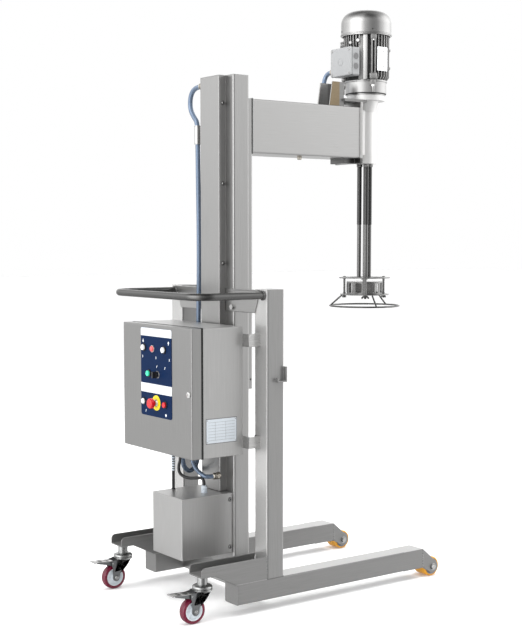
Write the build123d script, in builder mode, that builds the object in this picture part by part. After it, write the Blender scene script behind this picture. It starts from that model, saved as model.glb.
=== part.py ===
"""High shear mixer on a wheeled lifting stand, in millimetres.

+X points forward over the vat, +Y to the far side, +Z up. The origin is on the floor
below the middle of the machine.
"""
import os
from math import cos, radians, sin, sqrt, tan

from build123d import *

os.makedirs("parts", exist_ok=True)

# Stand: legs, posts and cross beam
track_width = 688.0           # over the outer faces of the two legs
frame_rear_x = -258.0         # rear faces of the posts, the mast and the cross beam
tube_wall = 4.0
fold_radius = 6.0
leg_clearance = 46.0          # floor to the underside of a leg
leg_width = 86.0
leg_height = 82.0
leg_rear_x = -398.0
leg_front_x = 569.0
post_width = 84.0
post_depth = 80.0
post_length = 1127.0
cross_beam_depth = 80.0

# Outriggers that carry the casters
outrigger_height = 89.0       # above the top of a leg
outrigger_rear_x = -563.0
outrigger_corner_radius = 18.0
tray_height = 39.0
neck_x = -505.0               # where the slanted neck meets the level tray

# Casters
caster_stem_x = -532.0
caster_stem_dia = 38.0
caster_height = 144.0         # floor to the top of the swivel head
swivel_head_dia = 78.0
swivel_head_height = 24.0
swivel_head_edge = 5.0
fork_root = 55.0              # length of a fork plate under the swivel head
fork_root_height = 2.0
fork_boss_dia = 24.0
caster_wheel_dia = 100.0
caster_wheel_width = 32.0
caster_trail = 46.0
caster_axle_dia = 12.0
caster_axle_length = 60.0
fork_plate = 4.0
fork_width = 44.0
wheel_edge_radius = 5.4
wheel_hub_width = 37.0
wheel_hub_dia = 28.8
pedal_reach = 146.0           # swivel axis to the tip of the brake pedal
pedal_width = 34.0
pedal_plate = 3.0
pedal_tip_height = 134.0
pedal_pivot_height = 111.0
pedal_pivot_back = 62.0       # swivel axis to the pedal pin
pedal_pin_dia = 8.0
pedal_pin_boss = 16.0
running_gap = 0.3             # between faces that turn or slide on each other
seat_gap = 0.2                # between curved faces that stay put

# Front rollers
roller_dia = 84.0
roller_axle_x = 627.0
roller_axle_dia = 14.0
roller_side_gap = 1.0
roller_edge_radius = 8.0
cheek_plate = 6.0
cheek_nose_radius = 28.0
cheek_length = 110.0

# Mast
mast_width = 239.0
mast_depth = 75.0
mast_wall = 5.0
mast_length = 1962.0
mast_slot = 170.0             # opening between the front lips
mast_window_width = 100.0     # for the gearbox at the foot
mast_window_bottom = 170.0
mast_window_top = 320.0
cover_width = 133.0
cover_depth = 33.0
cover_sheet = 2.0
seam_gap = 1.0

# Lower cover over the lifting motor
lower_cover_rear_x = -500.0
lower_cover_width = 219.0
lower_cover_bottom = 187.0
lower_cover_top = 432.0

# Lifting carriage
carriage_width = 160.0
carriage_front_x = -138.0
carriage_wall = 5.0
carriage_rear_gap = 3.0       # behind the carriage, to the inside of the mast
carriage_bottom = 842.0
carriage_length = 1164.0
rod_bracket_height = 1712.0
rod_bracket_plate = 12.0
guide_pad_length = 120.0
guide_pad_inset = 26.0
guide_gap = 0.4
stop_hole_dia = 8.0
stop_hole_height = 38.0
stop_hole_back = 11.0

# Lifting actuator
actuator_x = -204.0
actuator_tube_dia = 60.0
actuator_tube_wall = 4.0
actuator_tube_top = 1000.0
actuator_foot_height = 24.0
actuator_foot_size = 60.0
actuator_rod_dia = 30.0
actuator_seal_height = 20.0
actuator_rod_overlap = 130.0  # rod still inside the tube when fully out
gearbox_width = 80.0
gearbox_height = 80.0
gearbox_bottom = 200.0
gearbox_rear_x = -430.0
lift_motor_x = -385.0
lift_motor_dia = 90.0
lift_motor_height = 120.0

# Arm
arm_width = 160.0
arm_bottom = 1791.0
arm_height = 215.0
arm_front_x = 425.0
arm_wall = 5.0
end_plate = 11.0
end_plate_width = 170.0
end_plate_overhang = 22.0
under_bracket_length = 60.0
under_bracket_height = 22.0
under_bracket_width = 90.0

# Mixer axis and drive
mixer_x = 524.0
flange_ring_dia = 163.0
flange_ring_bottom = 2042.0
flange_ring_height = 29.0
lantern_top_radius = 56.0
lantern_foot_radius = 42.0
lantern_height = 49.0
housing_dia = 84.0
housing_bottom = 1773.0
housing_foot_height = 36.0
housing_foot_dia = 90.0
housing_bore_dia = 42.0
bearing_height = 18.0
bearing_press = 1.0           # bearing rings seated into the bore wall
clamp_plate = 12.0
clamp_spread = 62.0           # over the outer faces of the two clamp plates
clamp_bottom = 1809.0
clamp_top = 2000.0
end_shield_dia = 177.0
end_shield_height = 56.0
end_shield_edge = 4.0
motor_core_dia = 168.0
motor_fin_dia = 200.0
motor_fin_count = 32
motor_fin_width = 2.6
motor_fin_root = 2.0          # of each fin inside the core
motor_height = 192.0
motor_bore_dia = 101.0
rear_shield_height = 6.0
motor_lug_count = 3
motor_lug_angle = -108.0
motor_lug_dia = 18.0
motor_lug_radius = 96.0
fan_cover_dia = 217.0
fan_cover_height = 106.0
fan_cover_sheet = 2.0
fan_cover_shoulder = 52.0
fan_cover_crown = 7.0
fan_dia = 180.0
fan_hub_dia = 50.0
fan_height = 26.0
fan_blades = 6
fan_blade_width = 5.0
fan_lift = 8.0                # fan above the motor's finned body
blade_root = 4.0              # of each blade inside its hub
rotor_core_dia = 100.0
rotor_core_inset = 26.0
shaft_dia = 16.0

# Terminal box on the motor
terminal_lid_x = 381.0
terminal_depth = 49.0
terminal_width = 134.0
terminal_height = 119.0
terminal_rise = 13.0          # above the bottom of the finned body
terminal_lid = 9.0
terminal_corner = 8.0
terminal_edge = 3.0
terminal_neck_width = 96.0
terminal_neck_reach = 30.0    # into the round of the motor, before it is cut to it
fin_gap = 0.2
knockout_dia = 28.0
knockout_depth = 1.5
knockout_pitch = 40.0

# Motor bracket on the arm
bracket_rear_x = 288.0
bracket_front_x = 366.0
bracket_height = 104.0
bracket_spread = 84.0
bracket_plate = 5.0
bracket_lean = 16.0
shelf_plate = 12.0
shelf_width = 110.0
shelf_reach = 18.0            # under the flange ring

# Stem and mixing head
rod_count = 3
rod_dia = 18.0
rod_offset = 26.0             # mixer axis to a rod
rod_sleeve_dia = 20.0
rod_sleeve_bottom = 1512.0
rod_nut_flats = 24.0
rod_nut_height = 12.0
head_top = 1281.0
head_plate = 4.0
head_top_dia = 224.0
head_bottom_dia = 213.0
head_depth = 77.0             # over both head plates
pillar_count = 3
pillar_angle = -8.3
pillar_offset = 100.0         # mixer axis to a pillar
pillar_dia = 10.0
plate_bridge = 26.0           # web left between the openings of a head plate
plate_bridge_lap = 3.0
plate_opening_margin = 12.0   # pillar axis to the openings
head_hub_dia = 76.0
stator_dia = 156.0
stator_wall = 4.0
stator_height = 54.0
stator_windows = 12
stator_window_width = 28.0
stator_window_height = 42.0
stator_window_radius = 7.0
bottom_opening_dia = 110.0
head_bush_dia = 28.0
head_bush_height = 8.0
rotor_clearance = 1.5
rotor_hub_dia = 36.0
rotor_blades = 4
rotor_blade_width = 5.0
rotor_disc = 4.0
rotor_floor_gap = 3.0
guard_ring_dia = 309.0
guard_rod_dia = 7.0
guard_ring_height = 1156.0
guard_leg_angle = 9.7
guard_leg_top_radius = 100.0
wing_nut_dia = 14.0
wing_nut_height = 8.0
wing_span = 34.0
wing_height = 15.0
wing_plate = 3.0
wing_drop = 2.0               # wings below the plate

# Control box
box_width = 510.0
box_height = 500.0
box_bottom = 612.0
box_stand_off = 54.0          # posts to the box
box_depth = 185.0
box_sheet = 2.5
box_rim = 12.0
seal_plate = 3.0
seal_width = 12.0
seal_inset = 0.5
door_depth = 45.5
door_sheet = 2.0
door_fold_radius = 3.0
hinge_dia = 12.0
hinge_pin_dia = 6.0
hinge_knuckle = 16.0
hinge_leaf = 2.0
hinge_leaf_reach = 32.0
hinge_inset = 90.0            # from the top and bottom of the box
door_side_gap = 0.5
mounting_plate = 3.0
mounting_standoff = 15.0
mounting_stud_dia = 10.0
mounting_inset = 30.0
inverter_width = 150.0
inverter_height = 240.0
inverter_depth = 125.0
relay_count = 4
relay_width = 36.0
relay_height = 75.0
relay_depth = 80.0
relay_gap = 3.0

# Box brackets and tie plates
box_bracket_plate = 3.0
box_bracket_spread = 300.0    # machine centre to the outer face of the webs
box_bracket_lap = 40.0
box_bracket_flange = 36.0
upper_bracket_rise = 423.0    # above the bottom of the box
upper_bracket_height = 49.0
lower_bracket_rise = 28.0
lower_bracket_height = 46.0
tie_plate = 4.0
tie_drop = 93.0               # lower edge below the tops of the posts
tie_height = 91.0
tie_inner = 68.0
tie_outer_top = 298.0
tie_outer_bottom = 265.0
tie_flange = 12.0
tie_flange_inner = 128.0
tie_bolt_near = 116.0
tie_bolt_far = 82.0
tie_bolt_height = 18.0        # above the lower edge of the plate

# Push handle
handle_dia = 28.0
handle_wall = 2.0
handle_drop = 23.0            # tube axis below the tops of the posts
handle_spread = 632.0
handle_rear_x = -557.0
handle_bend_radius = 70.0
handle_collar_dia = 38.0
handle_collar = 4.0

# Hook on the near post
hook_strap = 5.0
hook_width = 18.0
hook_top = 957.0
hook_drop = 59.0
hook_reach = 44.0
hook_lip = 16.0
hook_front_x = -176.0

# Front panel of the control box
overlay_width = 229.0
overlay_plate = 1.5
overlay_rise = 138.0          # above the bottom of the box
overlay_height = 349.0
overlay_corner = 10.0
control_hole_dia = 24.0
collar_dia = 30.0
collar_height = 5.0
cap_dia = 22.0
cap_height = 6.0
cap_stand = 5.0               # rear of a button cap above the overlay
cap_edge = 1.5
plunger_dia = 10.0
button_travel = 3.0
block_size = 30.0
block_depth = 36.0
estop_dia = 40.0
estop_cap = 16.0
estop_edge = 6.0
estop_stem_dia = 16.0
estop_travel = 5.0
estop_disc_dia = 60.0
estop_disc = 2.0
estop_stand = 20.0
selector_dia = 26.0
selector_base = 8.0
selector_grip_width = 9.0
selector_grip_height = 14.0
lock_inset = 20.0             # from the opening side of the door
lock_rise = 248.0             # above the bottom of the box
lock_dia = 18.0
lock_head = 5.0
lock_stem_dia = 12.0
lock_stem = 54.5
lock_cam_length = 9.0
lock_cam_plate = 3.0

# Fasteners
cover_screw_dia = 10.0
cover_screw_head = 3.0
cover_screw_top = 1982.0
cover_screw_pitch = 315.0
cover_screw_count = 5
cover_screw_back = 13.0
bolt_flats = 19.0
bolt_head = 8.0

# Conduits and cables
bend_share = 0.45             # of the shorter run next to a bend
riser_dia = 20.0
mast_conduit_dia = 18.0
cable_dia = 9.0
motor_conduit_dia = 20.0
sleeve_dia = 28.0
sleeve_bottom = 1830.0
sleeve_height = 75.0
clip_strap = 4.0
riser_gland_dia = 26.0
cable_gland_dia = 20.0
cable_gland_length = 34.0
relief_dia = 15.0
arm_gland_dia = 18.0
arm_gland_length = 16.0
arm_gland_x = 127.0
arm_gland_y = -44.0
gland_nut_rim = 2.0           # of the hexagon round the gland body

# Places that follow from the sizes above
leg_top = leg_clearance + leg_height
leg_centre_y = (track_width - leg_width) / 2
post_centre_y = (track_width - post_width) / 2
post_top = leg_top + post_length
outrigger_top = leg_top + outrigger_height
tray_bottom = outrigger_top - tray_height
roller_height = roller_dia / 2
roller_width = leg_width - 2 * cheek_plate - 2 * roller_side_gap
mast_top = leg_top + mast_length
mast_inner_half = mast_width / 2 - mast_wall
cover_rear_x = frame_rear_x - cover_depth
carriage_rear_x = frame_rear_x + mast_wall + carriage_rear_gap
carriage_top = carriage_bottom + carriage_length
end_plate_front_x = arm_front_x + end_plate
arm_top = arm_bottom + arm_height
flange_ring_top = flange_ring_bottom + flange_ring_height
motor_bottom = flange_ring_top + end_shield_height
motor_top = motor_bottom + motor_height
terminal_bottom = motor_bottom + terminal_rise
housing_top = flange_ring_bottom - lantern_height
rod_nut_bottom = housing_bottom - rod_nut_height
head_bottom = head_top - head_depth
stator_bottom = head_bottom + head_plate
box_top = box_bottom + box_height
box_front_x = frame_rear_x - box_stand_off
box_rear_x = box_front_x - box_depth
seal_rear_x = box_rear_x - seal_plate
door_front_x = seal_rear_x - door_depth
overlay_face_x = door_front_x - overlay_plate
hinge_x = box_rear_x - seal_plate / 2
hinge_y = box_width / 2 + hinge_dia / 2 + door_side_gap
mounting_face_x = box_front_x - box_sheet - mounting_standoff - mounting_plate
lock_y = lock_inset - box_width / 2
lock_z = box_bottom + lock_rise
overlay_bottom = box_bottom + overlay_rise
upper_bracket_bottom = box_bottom + upper_bracket_rise
lower_bracket_bottom = box_bottom + lower_bracket_rise
tie_bottom = post_top - tie_drop
handle_height = post_top - handle_drop
sides = (("near", -1), ("far", 1))

# Places of the controls, as Y and a height above the lower edge of the overlay
raise_button = (-61.0, overlay_bottom + 269.0)
lower_button = (89.0, overlay_bottom + 270.0)
fault_lamp = (23.0, overlay_bottom + 268.0)
start_button = (52.0, overlay_bottom + 169.0)
selector_place = (-14.0, overlay_bottom + 169.0)
power_lamp = (92.0, overlay_bottom + 55.0)
estop_place = (-2.0, overlay_bottom + 56.0)
stop_button = (-69.0, overlay_bottom + 55.0)
control_places = (raise_button, lower_button, fault_lamp, start_button,
                  selector_place, power_lamp, estop_place, stop_button)


def plan_at(x, y, z):
    """Level plane through a point, with local axes along X and Y."""
    return Plane(origin=(x, y, z))


def side_at(x, y, z):
    """Upright plane across Y, with local axes along X and Z, facing the near side."""
    return Plane(origin=(x, y, z), x_dir=(1, 0, 0), z_dir=(0, -1, 0))


def front_at(x, y, z):
    """Upright plane across X, with local axes along Y and Z, facing forward."""
    return Plane(origin=(x, y, z), x_dir=(0, 1, 0), z_dir=(1, 0, 0))


def keep(piece, name):
    """Label a finished piece and write it under its own name."""
    piece.label = name
    export_step(piece, f"parts/{name}.step")


def route_radii(points):
    """Bend radius for each inner point, from the shorter run next to it and the half turn."""
    radii = []
    for before, here, after in zip(points, points[1:], points[2:]):
        run_in = Vector(*here) - Vector(*before)
        run_out = Vector(*after) - Vector(*here)
        half_turn = radians(run_in.get_angle(run_out)) / 2
        radii.append(bend_share * min(run_in.length, run_out.length) / tan(half_turn))
    return radii


def add_tube(points, diameter, name):
    """Sweep a round cord along straight runs joined by tangent arcs."""
    radii = route_radii(points)
    with BuildLine() as route:
        FilletPolyline(*points, radius=radii)
    path = route.wires()[0]
    with BuildSketch(Plane(origin=path @ 0, z_dir=path % 0)) as section:
        Circle(diameter / 2)
    sweep(section.sketch, path=path)
    print(f"{name}: length {path.length:.0f}, radii " + ", ".join(f"{r:.0f}" for r in radii))


# Legs with their outriggers and caster stems, each one welded piece
def build_leg(name, side):
    centre_y = side * leg_centre_y
    leg_length = leg_front_x - leg_rear_x
    leg_middle_z = leg_clearance + leg_height / 2
    outer = [
        (frame_rear_x, leg_top - tube_wall),
        (frame_rear_x, outrigger_top),
        (outrigger_rear_x, outrigger_top),
        (outrigger_rear_x, tray_bottom),
        (neck_x, tray_bottom),
        (leg_rear_x, leg_top - tube_wall),
    ]
    inner = [
        (frame_rear_x, leg_top + tube_wall),
        (frame_rear_x, outrigger_top + tube_wall),
        (outrigger_rear_x + tube_wall, outrigger_top + tube_wall),
        (outrigger_rear_x + tube_wall, tray_bottom + tube_wall),
        (neck_x + tube_wall / 2, tray_bottom + tube_wall),
        (leg_rear_x + tube_wall, leg_top + tube_wall),
    ]
    with BuildPart() as leg:
        with BuildSketch(front_at(leg_rear_x, centre_y, leg_middle_z)):
            RectangleRounded(leg_width, leg_height, fold_radius)
        extrude(amount=leg_length)
        with BuildSketch(side_at(0, centre_y, 0)) as outline:
            with BuildLine():
                Polyline(*outer, close=True)
            make_face()
            rear_corner = outline.vertices().group_by(Axis.X)[0].sort_by(Axis.Y)[-1]
            fillet(rear_corner, outrigger_corner_radius)
        extrude(amount=leg_width / 2, both=True)
        with BuildSketch(side_at(0, centre_y, 0)):
            with BuildLine():
                Polyline(*inner, close=True)
            make_face()
        extrude(amount=leg_width / 2 - tube_wall, both=True, mode=Mode.SUBTRACT)
        with BuildSketch(plan_at(caster_stem_x, centre_y, caster_height)):
            Circle(caster_stem_dia / 2)
        extrude(amount=tray_bottom + tube_wall - caster_height)
        with BuildSketch(front_at(leg_rear_x + tube_wall, centre_y, leg_middle_z)):
            Rectangle(leg_width - 2 * tube_wall, leg_height - 2 * tube_wall)
        extrude(amount=leg_length, mode=Mode.SUBTRACT)
        for cheek in (-1, 1):
            cheek_y = centre_y + cheek * (leg_width - cheek_plate) / 2
            with BuildSketch(side_at(0, cheek_y, 0)):
                with Locations((leg_front_x - cheek_length / 2, leg_middle_z)):
                    Rectangle(cheek_length, leg_height)
                with Locations((roller_axle_x, roller_height)):
                    Circle(cheek_nose_radius)
                make_hull()
            extrude(amount=cheek_plate / 2, both=True)
        with BuildSketch(side_at(roller_axle_x, centre_y, roller_height)):
            Circle(roller_axle_dia / 2)
        extrude(amount=leg_width, both=True, mode=Mode.SUBTRACT)
    keep(leg.part, name)


# Hollow posts with welded top plates; the near one carries a hook
def build_post(name, side):
    centre_x = frame_rear_x + post_depth / 2
    centre_y = side * post_centre_y
    with BuildPart() as post:
        with BuildSketch(plan_at(centre_x, centre_y, leg_top)):
            RectangleRounded(post_depth, post_width, fold_radius)
        extrude(amount=post_length)
        with BuildSketch(plan_at(centre_x, centre_y, leg_top)):
            Rectangle(post_depth - 2 * tube_wall, post_width - 2 * tube_wall)
        extrude(amount=post_length - tube_wall, mode=Mode.SUBTRACT)
        if side < 0:
            hook_foot = hook_top - hook_drop
            strap = [
                (hook_front_x, hook_top),
                (hook_front_x, hook_foot),
                (hook_front_x - hook_reach, hook_foot),
                (hook_front_x - hook_reach, hook_foot + hook_lip),
                (hook_front_x - hook_reach + hook_strap, hook_foot + hook_lip),
                (hook_front_x - hook_reach + hook_strap, hook_foot + hook_strap),
                (hook_front_x - hook_strap, hook_foot + hook_strap),
                (hook_front_x - hook_strap, hook_top),
            ]
            with BuildSketch(side_at(0, -track_width / 2, 0)):
                with BuildLine():
                    Polyline(*strap, close=True)
                make_face()
            extrude(amount=hook_width)
    keep(post.part, name)


def build_cross_beam():
    centre_x = frame_rear_x + cross_beam_depth / 2
    centre_z = leg_clearance + leg_height / 2
    with BuildPart() as cross_beam:
        with BuildSketch(side_at(centre_x, 0, centre_z)):
            RectangleRounded(cross_beam_depth, leg_height, fold_radius)
            Rectangle(cross_beam_depth - 2 * tube_wall, leg_height - 2 * tube_wall, mode=Mode.SUBTRACT)
        extrude(amount=track_width / 2 - leg_width, both=True)
    keep(cross_beam.part, "cross_beam")


# C-shaped mast, open to the front, with a window at its foot for the gearbox
def build_mast():
    centre_x = frame_rear_x + mast_depth / 2
    with BuildPart() as mast:
        with BuildSketch(plan_at(centre_x, 0, leg_top)):
            RectangleRounded(mast_depth, mast_width, fold_radius)
            Rectangle(mast_depth - 2 * mast_wall, mast_width - 2 * mast_wall, mode=Mode.SUBTRACT)
            with Locations((mast_depth / 2, 0)):
                Rectangle(3 * mast_wall, mast_slot, mode=Mode.SUBTRACT)
        extrude(amount=mast_length - mast_wall)
        with BuildSketch(plan_at(centre_x, 0, mast_top - mast_wall)):
            RectangleRounded(mast_depth, mast_width, fold_radius)
        extrude(amount=mast_wall)
        window_middle = (mast_window_bottom + mast_window_top) / 2
        with BuildSketch(front_at(frame_rear_x - mast_wall, 0, window_middle)):
            Rectangle(mast_window_width, mast_window_top - mast_window_bottom)
        extrude(amount=3 * mast_wall, mode=Mode.SUBTRACT)
    keep(mast.part, "mast_profile")


def build_mast_cover():
    cover_bottom = lower_cover_top + seam_gap
    cover_height = mast_top - cover_bottom
    centre_x = frame_rear_x - cover_depth / 2
    with BuildPart() as cover:
        with BuildSketch(plan_at(centre_x, 0, cover_bottom)):
            Rectangle(cover_depth, cover_width)
        extrude(amount=cover_height)
        fold_edges = cover.edges().filter_by(Axis.Z).group_by(Axis.X)[0]
        fillet(fold_edges, cover_sheet)
        with BuildSketch(plan_at(centre_x + cover_sheet, 0, cover_bottom)):
            Rectangle(cover_depth, cover_width - 2 * cover_sheet)
        extrude(amount=cover_height - cover_sheet, mode=Mode.SUBTRACT)
    keep(cover.part, "mast_cover")


def build_lower_cover():
    depth = frame_rear_x - lower_cover_rear_x
    height = lower_cover_top - lower_cover_bottom
    centre_x = frame_rear_x - depth / 2
    with BuildPart() as cover:
        with BuildSketch(plan_at(centre_x, 0, lower_cover_bottom)):
            Rectangle(depth, lower_cover_width)
        extrude(amount=height)
        fold_edges = cover.edges().filter_by(Axis.Z).group_by(Axis.X)[0]
        fillet(fold_edges + cover.faces().sort_by(Axis.Z)[-1].edges(), cover_sheet)
        with BuildSketch(plan_at(centre_x + cover_sheet, 0, lower_cover_bottom)):
            Rectangle(depth, lower_cover_width - 2 * cover_sheet)
        extrude(amount=height - cover_sheet, mode=Mode.SUBTRACT)
    keep(cover.part, "lower_cover")


# Z-shaped plates that carry the control box on the two posts
def build_box_brackets():
    with BuildPart() as brackets:
        for bottom, height in (
            (upper_bracket_bottom, upper_bracket_height),
            (lower_bracket_bottom, lower_bracket_height),
        ):
            for _, side in sides:
                web_y = box_bracket_spread - box_bracket_plate
                lap_y = box_width / 2 - box_bracket_lap
                flange_face_x = frame_rear_x - box_bracket_plate
                section = [
                    (box_front_x, side * box_bracket_spread),
                    (frame_rear_x, side * box_bracket_spread),
                    (frame_rear_x, side * (box_bracket_spread - box_bracket_flange)),
                    (flange_face_x, side * (box_bracket_spread - box_bracket_flange)),
                    (flange_face_x, side * web_y),
                    (box_front_x + box_bracket_plate, side * web_y),
                    (box_front_x + box_bracket_plate, side * lap_y),
                    (box_front_x, side * lap_y),
                ]
                with BuildSketch(plan_at(0, 0, bottom)):
                    with BuildLine():
                        Polyline(*section, close=True)
                    make_face()
                extrude(amount=height)
    keep(brackets.part, "box_brackets")


# Plates that tie the mast to the two posts, each with a folded top edge
def build_tie_plates():
    with BuildPart() as plates:
        for _, side in sides:
            outline = [
                (side * tie_inner, tie_bottom),
                (side * tie_inner, tie_bottom + tie_height),
                (side * tie_outer_top, tie_bottom + tie_height),
                (side * tie_outer_bottom, tie_bottom),
            ]
            with BuildSketch(front_at(frame_rear_x - tie_plate, 0, 0)):
                with BuildLine():
                    Polyline(*outline, close=True)
                make_face()
            extrude(amount=tie_plate)
            flange_x = frame_rear_x - (tie_plate + tie_flange) / 2
            flange_y = side * (tie_flange_inner + tie_outer_top) / 2
            flange_z = tie_bottom + tie_height - tie_plate
            with BuildSketch(plan_at(flange_x, flange_y, flange_z)):
                Rectangle(tie_plate + tie_flange, tie_outer_top - tie_flange_inner)
            extrude(amount=tie_plate)
    keep(plates.part, "tie_plates")


# Push handle: one bent tube with a weld collar at each post
def build_push_handle():
    half = handle_spread / 2
    corners = [
        (frame_rear_x, -half, handle_height),
        (handle_rear_x, -half, handle_height),
        (handle_rear_x, half, handle_height),
        (frame_rear_x, half, handle_height),
    ]
    with BuildPart() as handle:
        with BuildLine() as bend:
            FilletPolyline(*corners, radius=handle_bend_radius)
        with BuildSketch(Plane(origin=bend.line @ 0, z_dir=bend.line % 0)):
            Circle(handle_dia / 2)
            Circle(handle_dia / 2 - handle_wall, mode=Mode.SUBTRACT)
        sweep(path=bend.line)
        for _, side in sides:
            with BuildSketch(front_at(frame_rear_x - handle_collar, side * half, handle_height)):
                Circle(handle_collar_dia / 2)
            extrude(amount=handle_collar)
    keep(handle.part, "push_handle")


# Screws, bolts and roller axles of the frame, as one group
def build_frame_fasteners():
    screw_x = frame_rear_x - cover_screw_back
    with BuildPart() as fasteners:
        for _, side in sides:
            for index in range(cover_screw_count):
                screw_z = cover_screw_top - index * cover_screw_pitch
                with BuildSketch(side_at(screw_x, side * cover_width / 2, screw_z)):
                    Circle(cover_screw_dia / 2)
                extrude(amount=-side * cover_screw_head)
            for screw_z in (
                lower_cover_bottom + 2 * cover_screw_back,
                lower_cover_top - 2 * cover_screw_back,
            ):
                with BuildSketch(side_at(screw_x, side * lower_cover_width / 2, screw_z)):
                    Circle(cover_screw_dia / 2)
                extrude(amount=-side * cover_screw_head)
            bolt_y = side * (tie_bolt_near if side < 0 else tie_bolt_far)
            with BuildSketch(front_at(frame_rear_x - tie_plate, bolt_y, tie_bottom + tie_bolt_height)):
                RegularPolygon(bolt_flats / 2, 6, major_radius=False)
            extrude(amount=-bolt_head)
            axle_y = side * leg_centre_y
            with BuildSketch(side_at(roller_axle_x, axle_y, roller_height)):
                Circle(roller_axle_dia / 2 - running_gap)
            extrude(amount=leg_width / 2, both=True)
            for face in (-1, 1):
                with BuildSketch(side_at(roller_axle_x, axle_y + face * leg_width / 2, roller_height)):
                    RegularPolygon(bolt_flats / 2, 6, major_radius=False)
                extrude(amount=-face * bolt_head)
    keep(fasteners.part, "frame_fasteners")


# Casters: swivel fork, wheel and brake pedal
def build_caster(name, side):
    centre_y = side * leg_centre_y
    wheel_x = caster_stem_x - caster_trail
    wheel_z = caster_wheel_dia / 2
    head_bottom_z = caster_height - running_gap - swivel_head_height
    pivot_x = caster_stem_x - pedal_pivot_back
    with BuildPart() as fork:
        with BuildSketch(plan_at(caster_stem_x, centre_y, head_bottom_z)):
            Circle(swivel_head_dia / 2)
        extrude(amount=swivel_head_height)
        fillet(fork.faces().sort_by(Axis.Z)[-1].edges(), swivel_head_edge)
        for plate in (-1, 1):
            plate_y = centre_y + plate * (fork_width + fork_plate) / 2
            with BuildSketch(side_at(0, plate_y, 0)):
                with Locations((caster_stem_x, head_bottom_z + fork_root_height / 2)):
                    Rectangle(fork_root, fork_root_height)
                with Locations((wheel_x, wheel_z)):
                    Circle(fork_boss_dia / 2)
                make_hull()
            extrude(amount=fork_plate / 2, both=True)
            with BuildSketch(side_at(0, plate_y, 0)):
                with Locations((caster_stem_x, head_bottom_z + fork_root_height / 2)):
                    Rectangle(fork_root, fork_root_height)
                with Locations((pivot_x, pedal_pivot_height)):
                    Circle(pedal_pin_boss / 2)
                make_hull()
            extrude(amount=fork_plate / 2, both=True)
        with BuildSketch(side_at(wheel_x, centre_y, wheel_z)):
            Circle(caster_axle_dia / 2)
        extrude(amount=caster_axle_length / 2, both=True)
        with BuildSketch(side_at(pivot_x, centre_y, pedal_pivot_height)):
            Circle(pedal_pin_dia / 2)
        extrude(amount=fork_width / 2, both=True)
    keep(fork.part, f"caster_fork_{name}")

    with BuildPart() as wheel:
        with BuildSketch(side_at(wheel_x, centre_y, wheel_z)):
            Circle(caster_wheel_dia / 2)
        extrude(amount=caster_wheel_width / 2, both=True)
        fillet(wheel.edges().filter_by(GeomType.CIRCLE), wheel_edge_radius)
        with BuildSketch(side_at(wheel_x, centre_y, wheel_z)):
            Circle(wheel_hub_dia / 2)
        extrude(amount=wheel_hub_width / 2, both=True)
        with BuildSketch(side_at(wheel_x, centre_y, wheel_z)):
            Circle(caster_axle_dia / 2 + running_gap)
        extrude(amount=wheel_hub_width, both=True, mode=Mode.SUBTRACT)
    keep(wheel.part, f"caster_wheel_{name}")

    tip_x = caster_stem_x - pedal_reach
    ear_radius = pedal_pin_dia / 2 + running_gap + pedal_plate
    with BuildPart() as pedal:
        with BuildSketch(side_at(0, centre_y, 0)):
            with BuildLine():
                Polyline(
                    (pivot_x, pedal_pivot_height),
                    (pivot_x, pedal_pivot_height + ear_radius),
                    (tip_x, pedal_tip_height),
                    (tip_x, pedal_tip_height - pedal_plate),
                    close=True,
                )
            make_face()
            with Locations((pivot_x, pedal_pivot_height)):
                Circle(ear_radius)
        extrude(amount=pedal_width / 2, both=True)
        with BuildSketch(side_at(pivot_x, centre_y, pedal_pivot_height)):
            Circle(pedal_pin_dia / 2 + running_gap)
        extrude(amount=pedal_width, both=True, mode=Mode.SUBTRACT)
    keep(pedal.part, f"brake_pedal_{name}")


def build_roller(name, side):
    with BuildPart() as roller:
        with BuildSketch(side_at(roller_axle_x, side * leg_centre_y, roller_height)):
            Circle(roller_dia / 2)
        extrude(amount=roller_width / 2, both=True)
        fillet(roller.edges().filter_by(GeomType.CIRCLE), roller_edge_radius)
        with BuildSketch(side_at(roller_axle_x, side * leg_centre_y, roller_height)):
            Circle(roller_axle_dia / 2)
        extrude(amount=roller_width, both=True, mode=Mode.SUBTRACT)
    keep(roller.part, f"front_roller_{name}")


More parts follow.
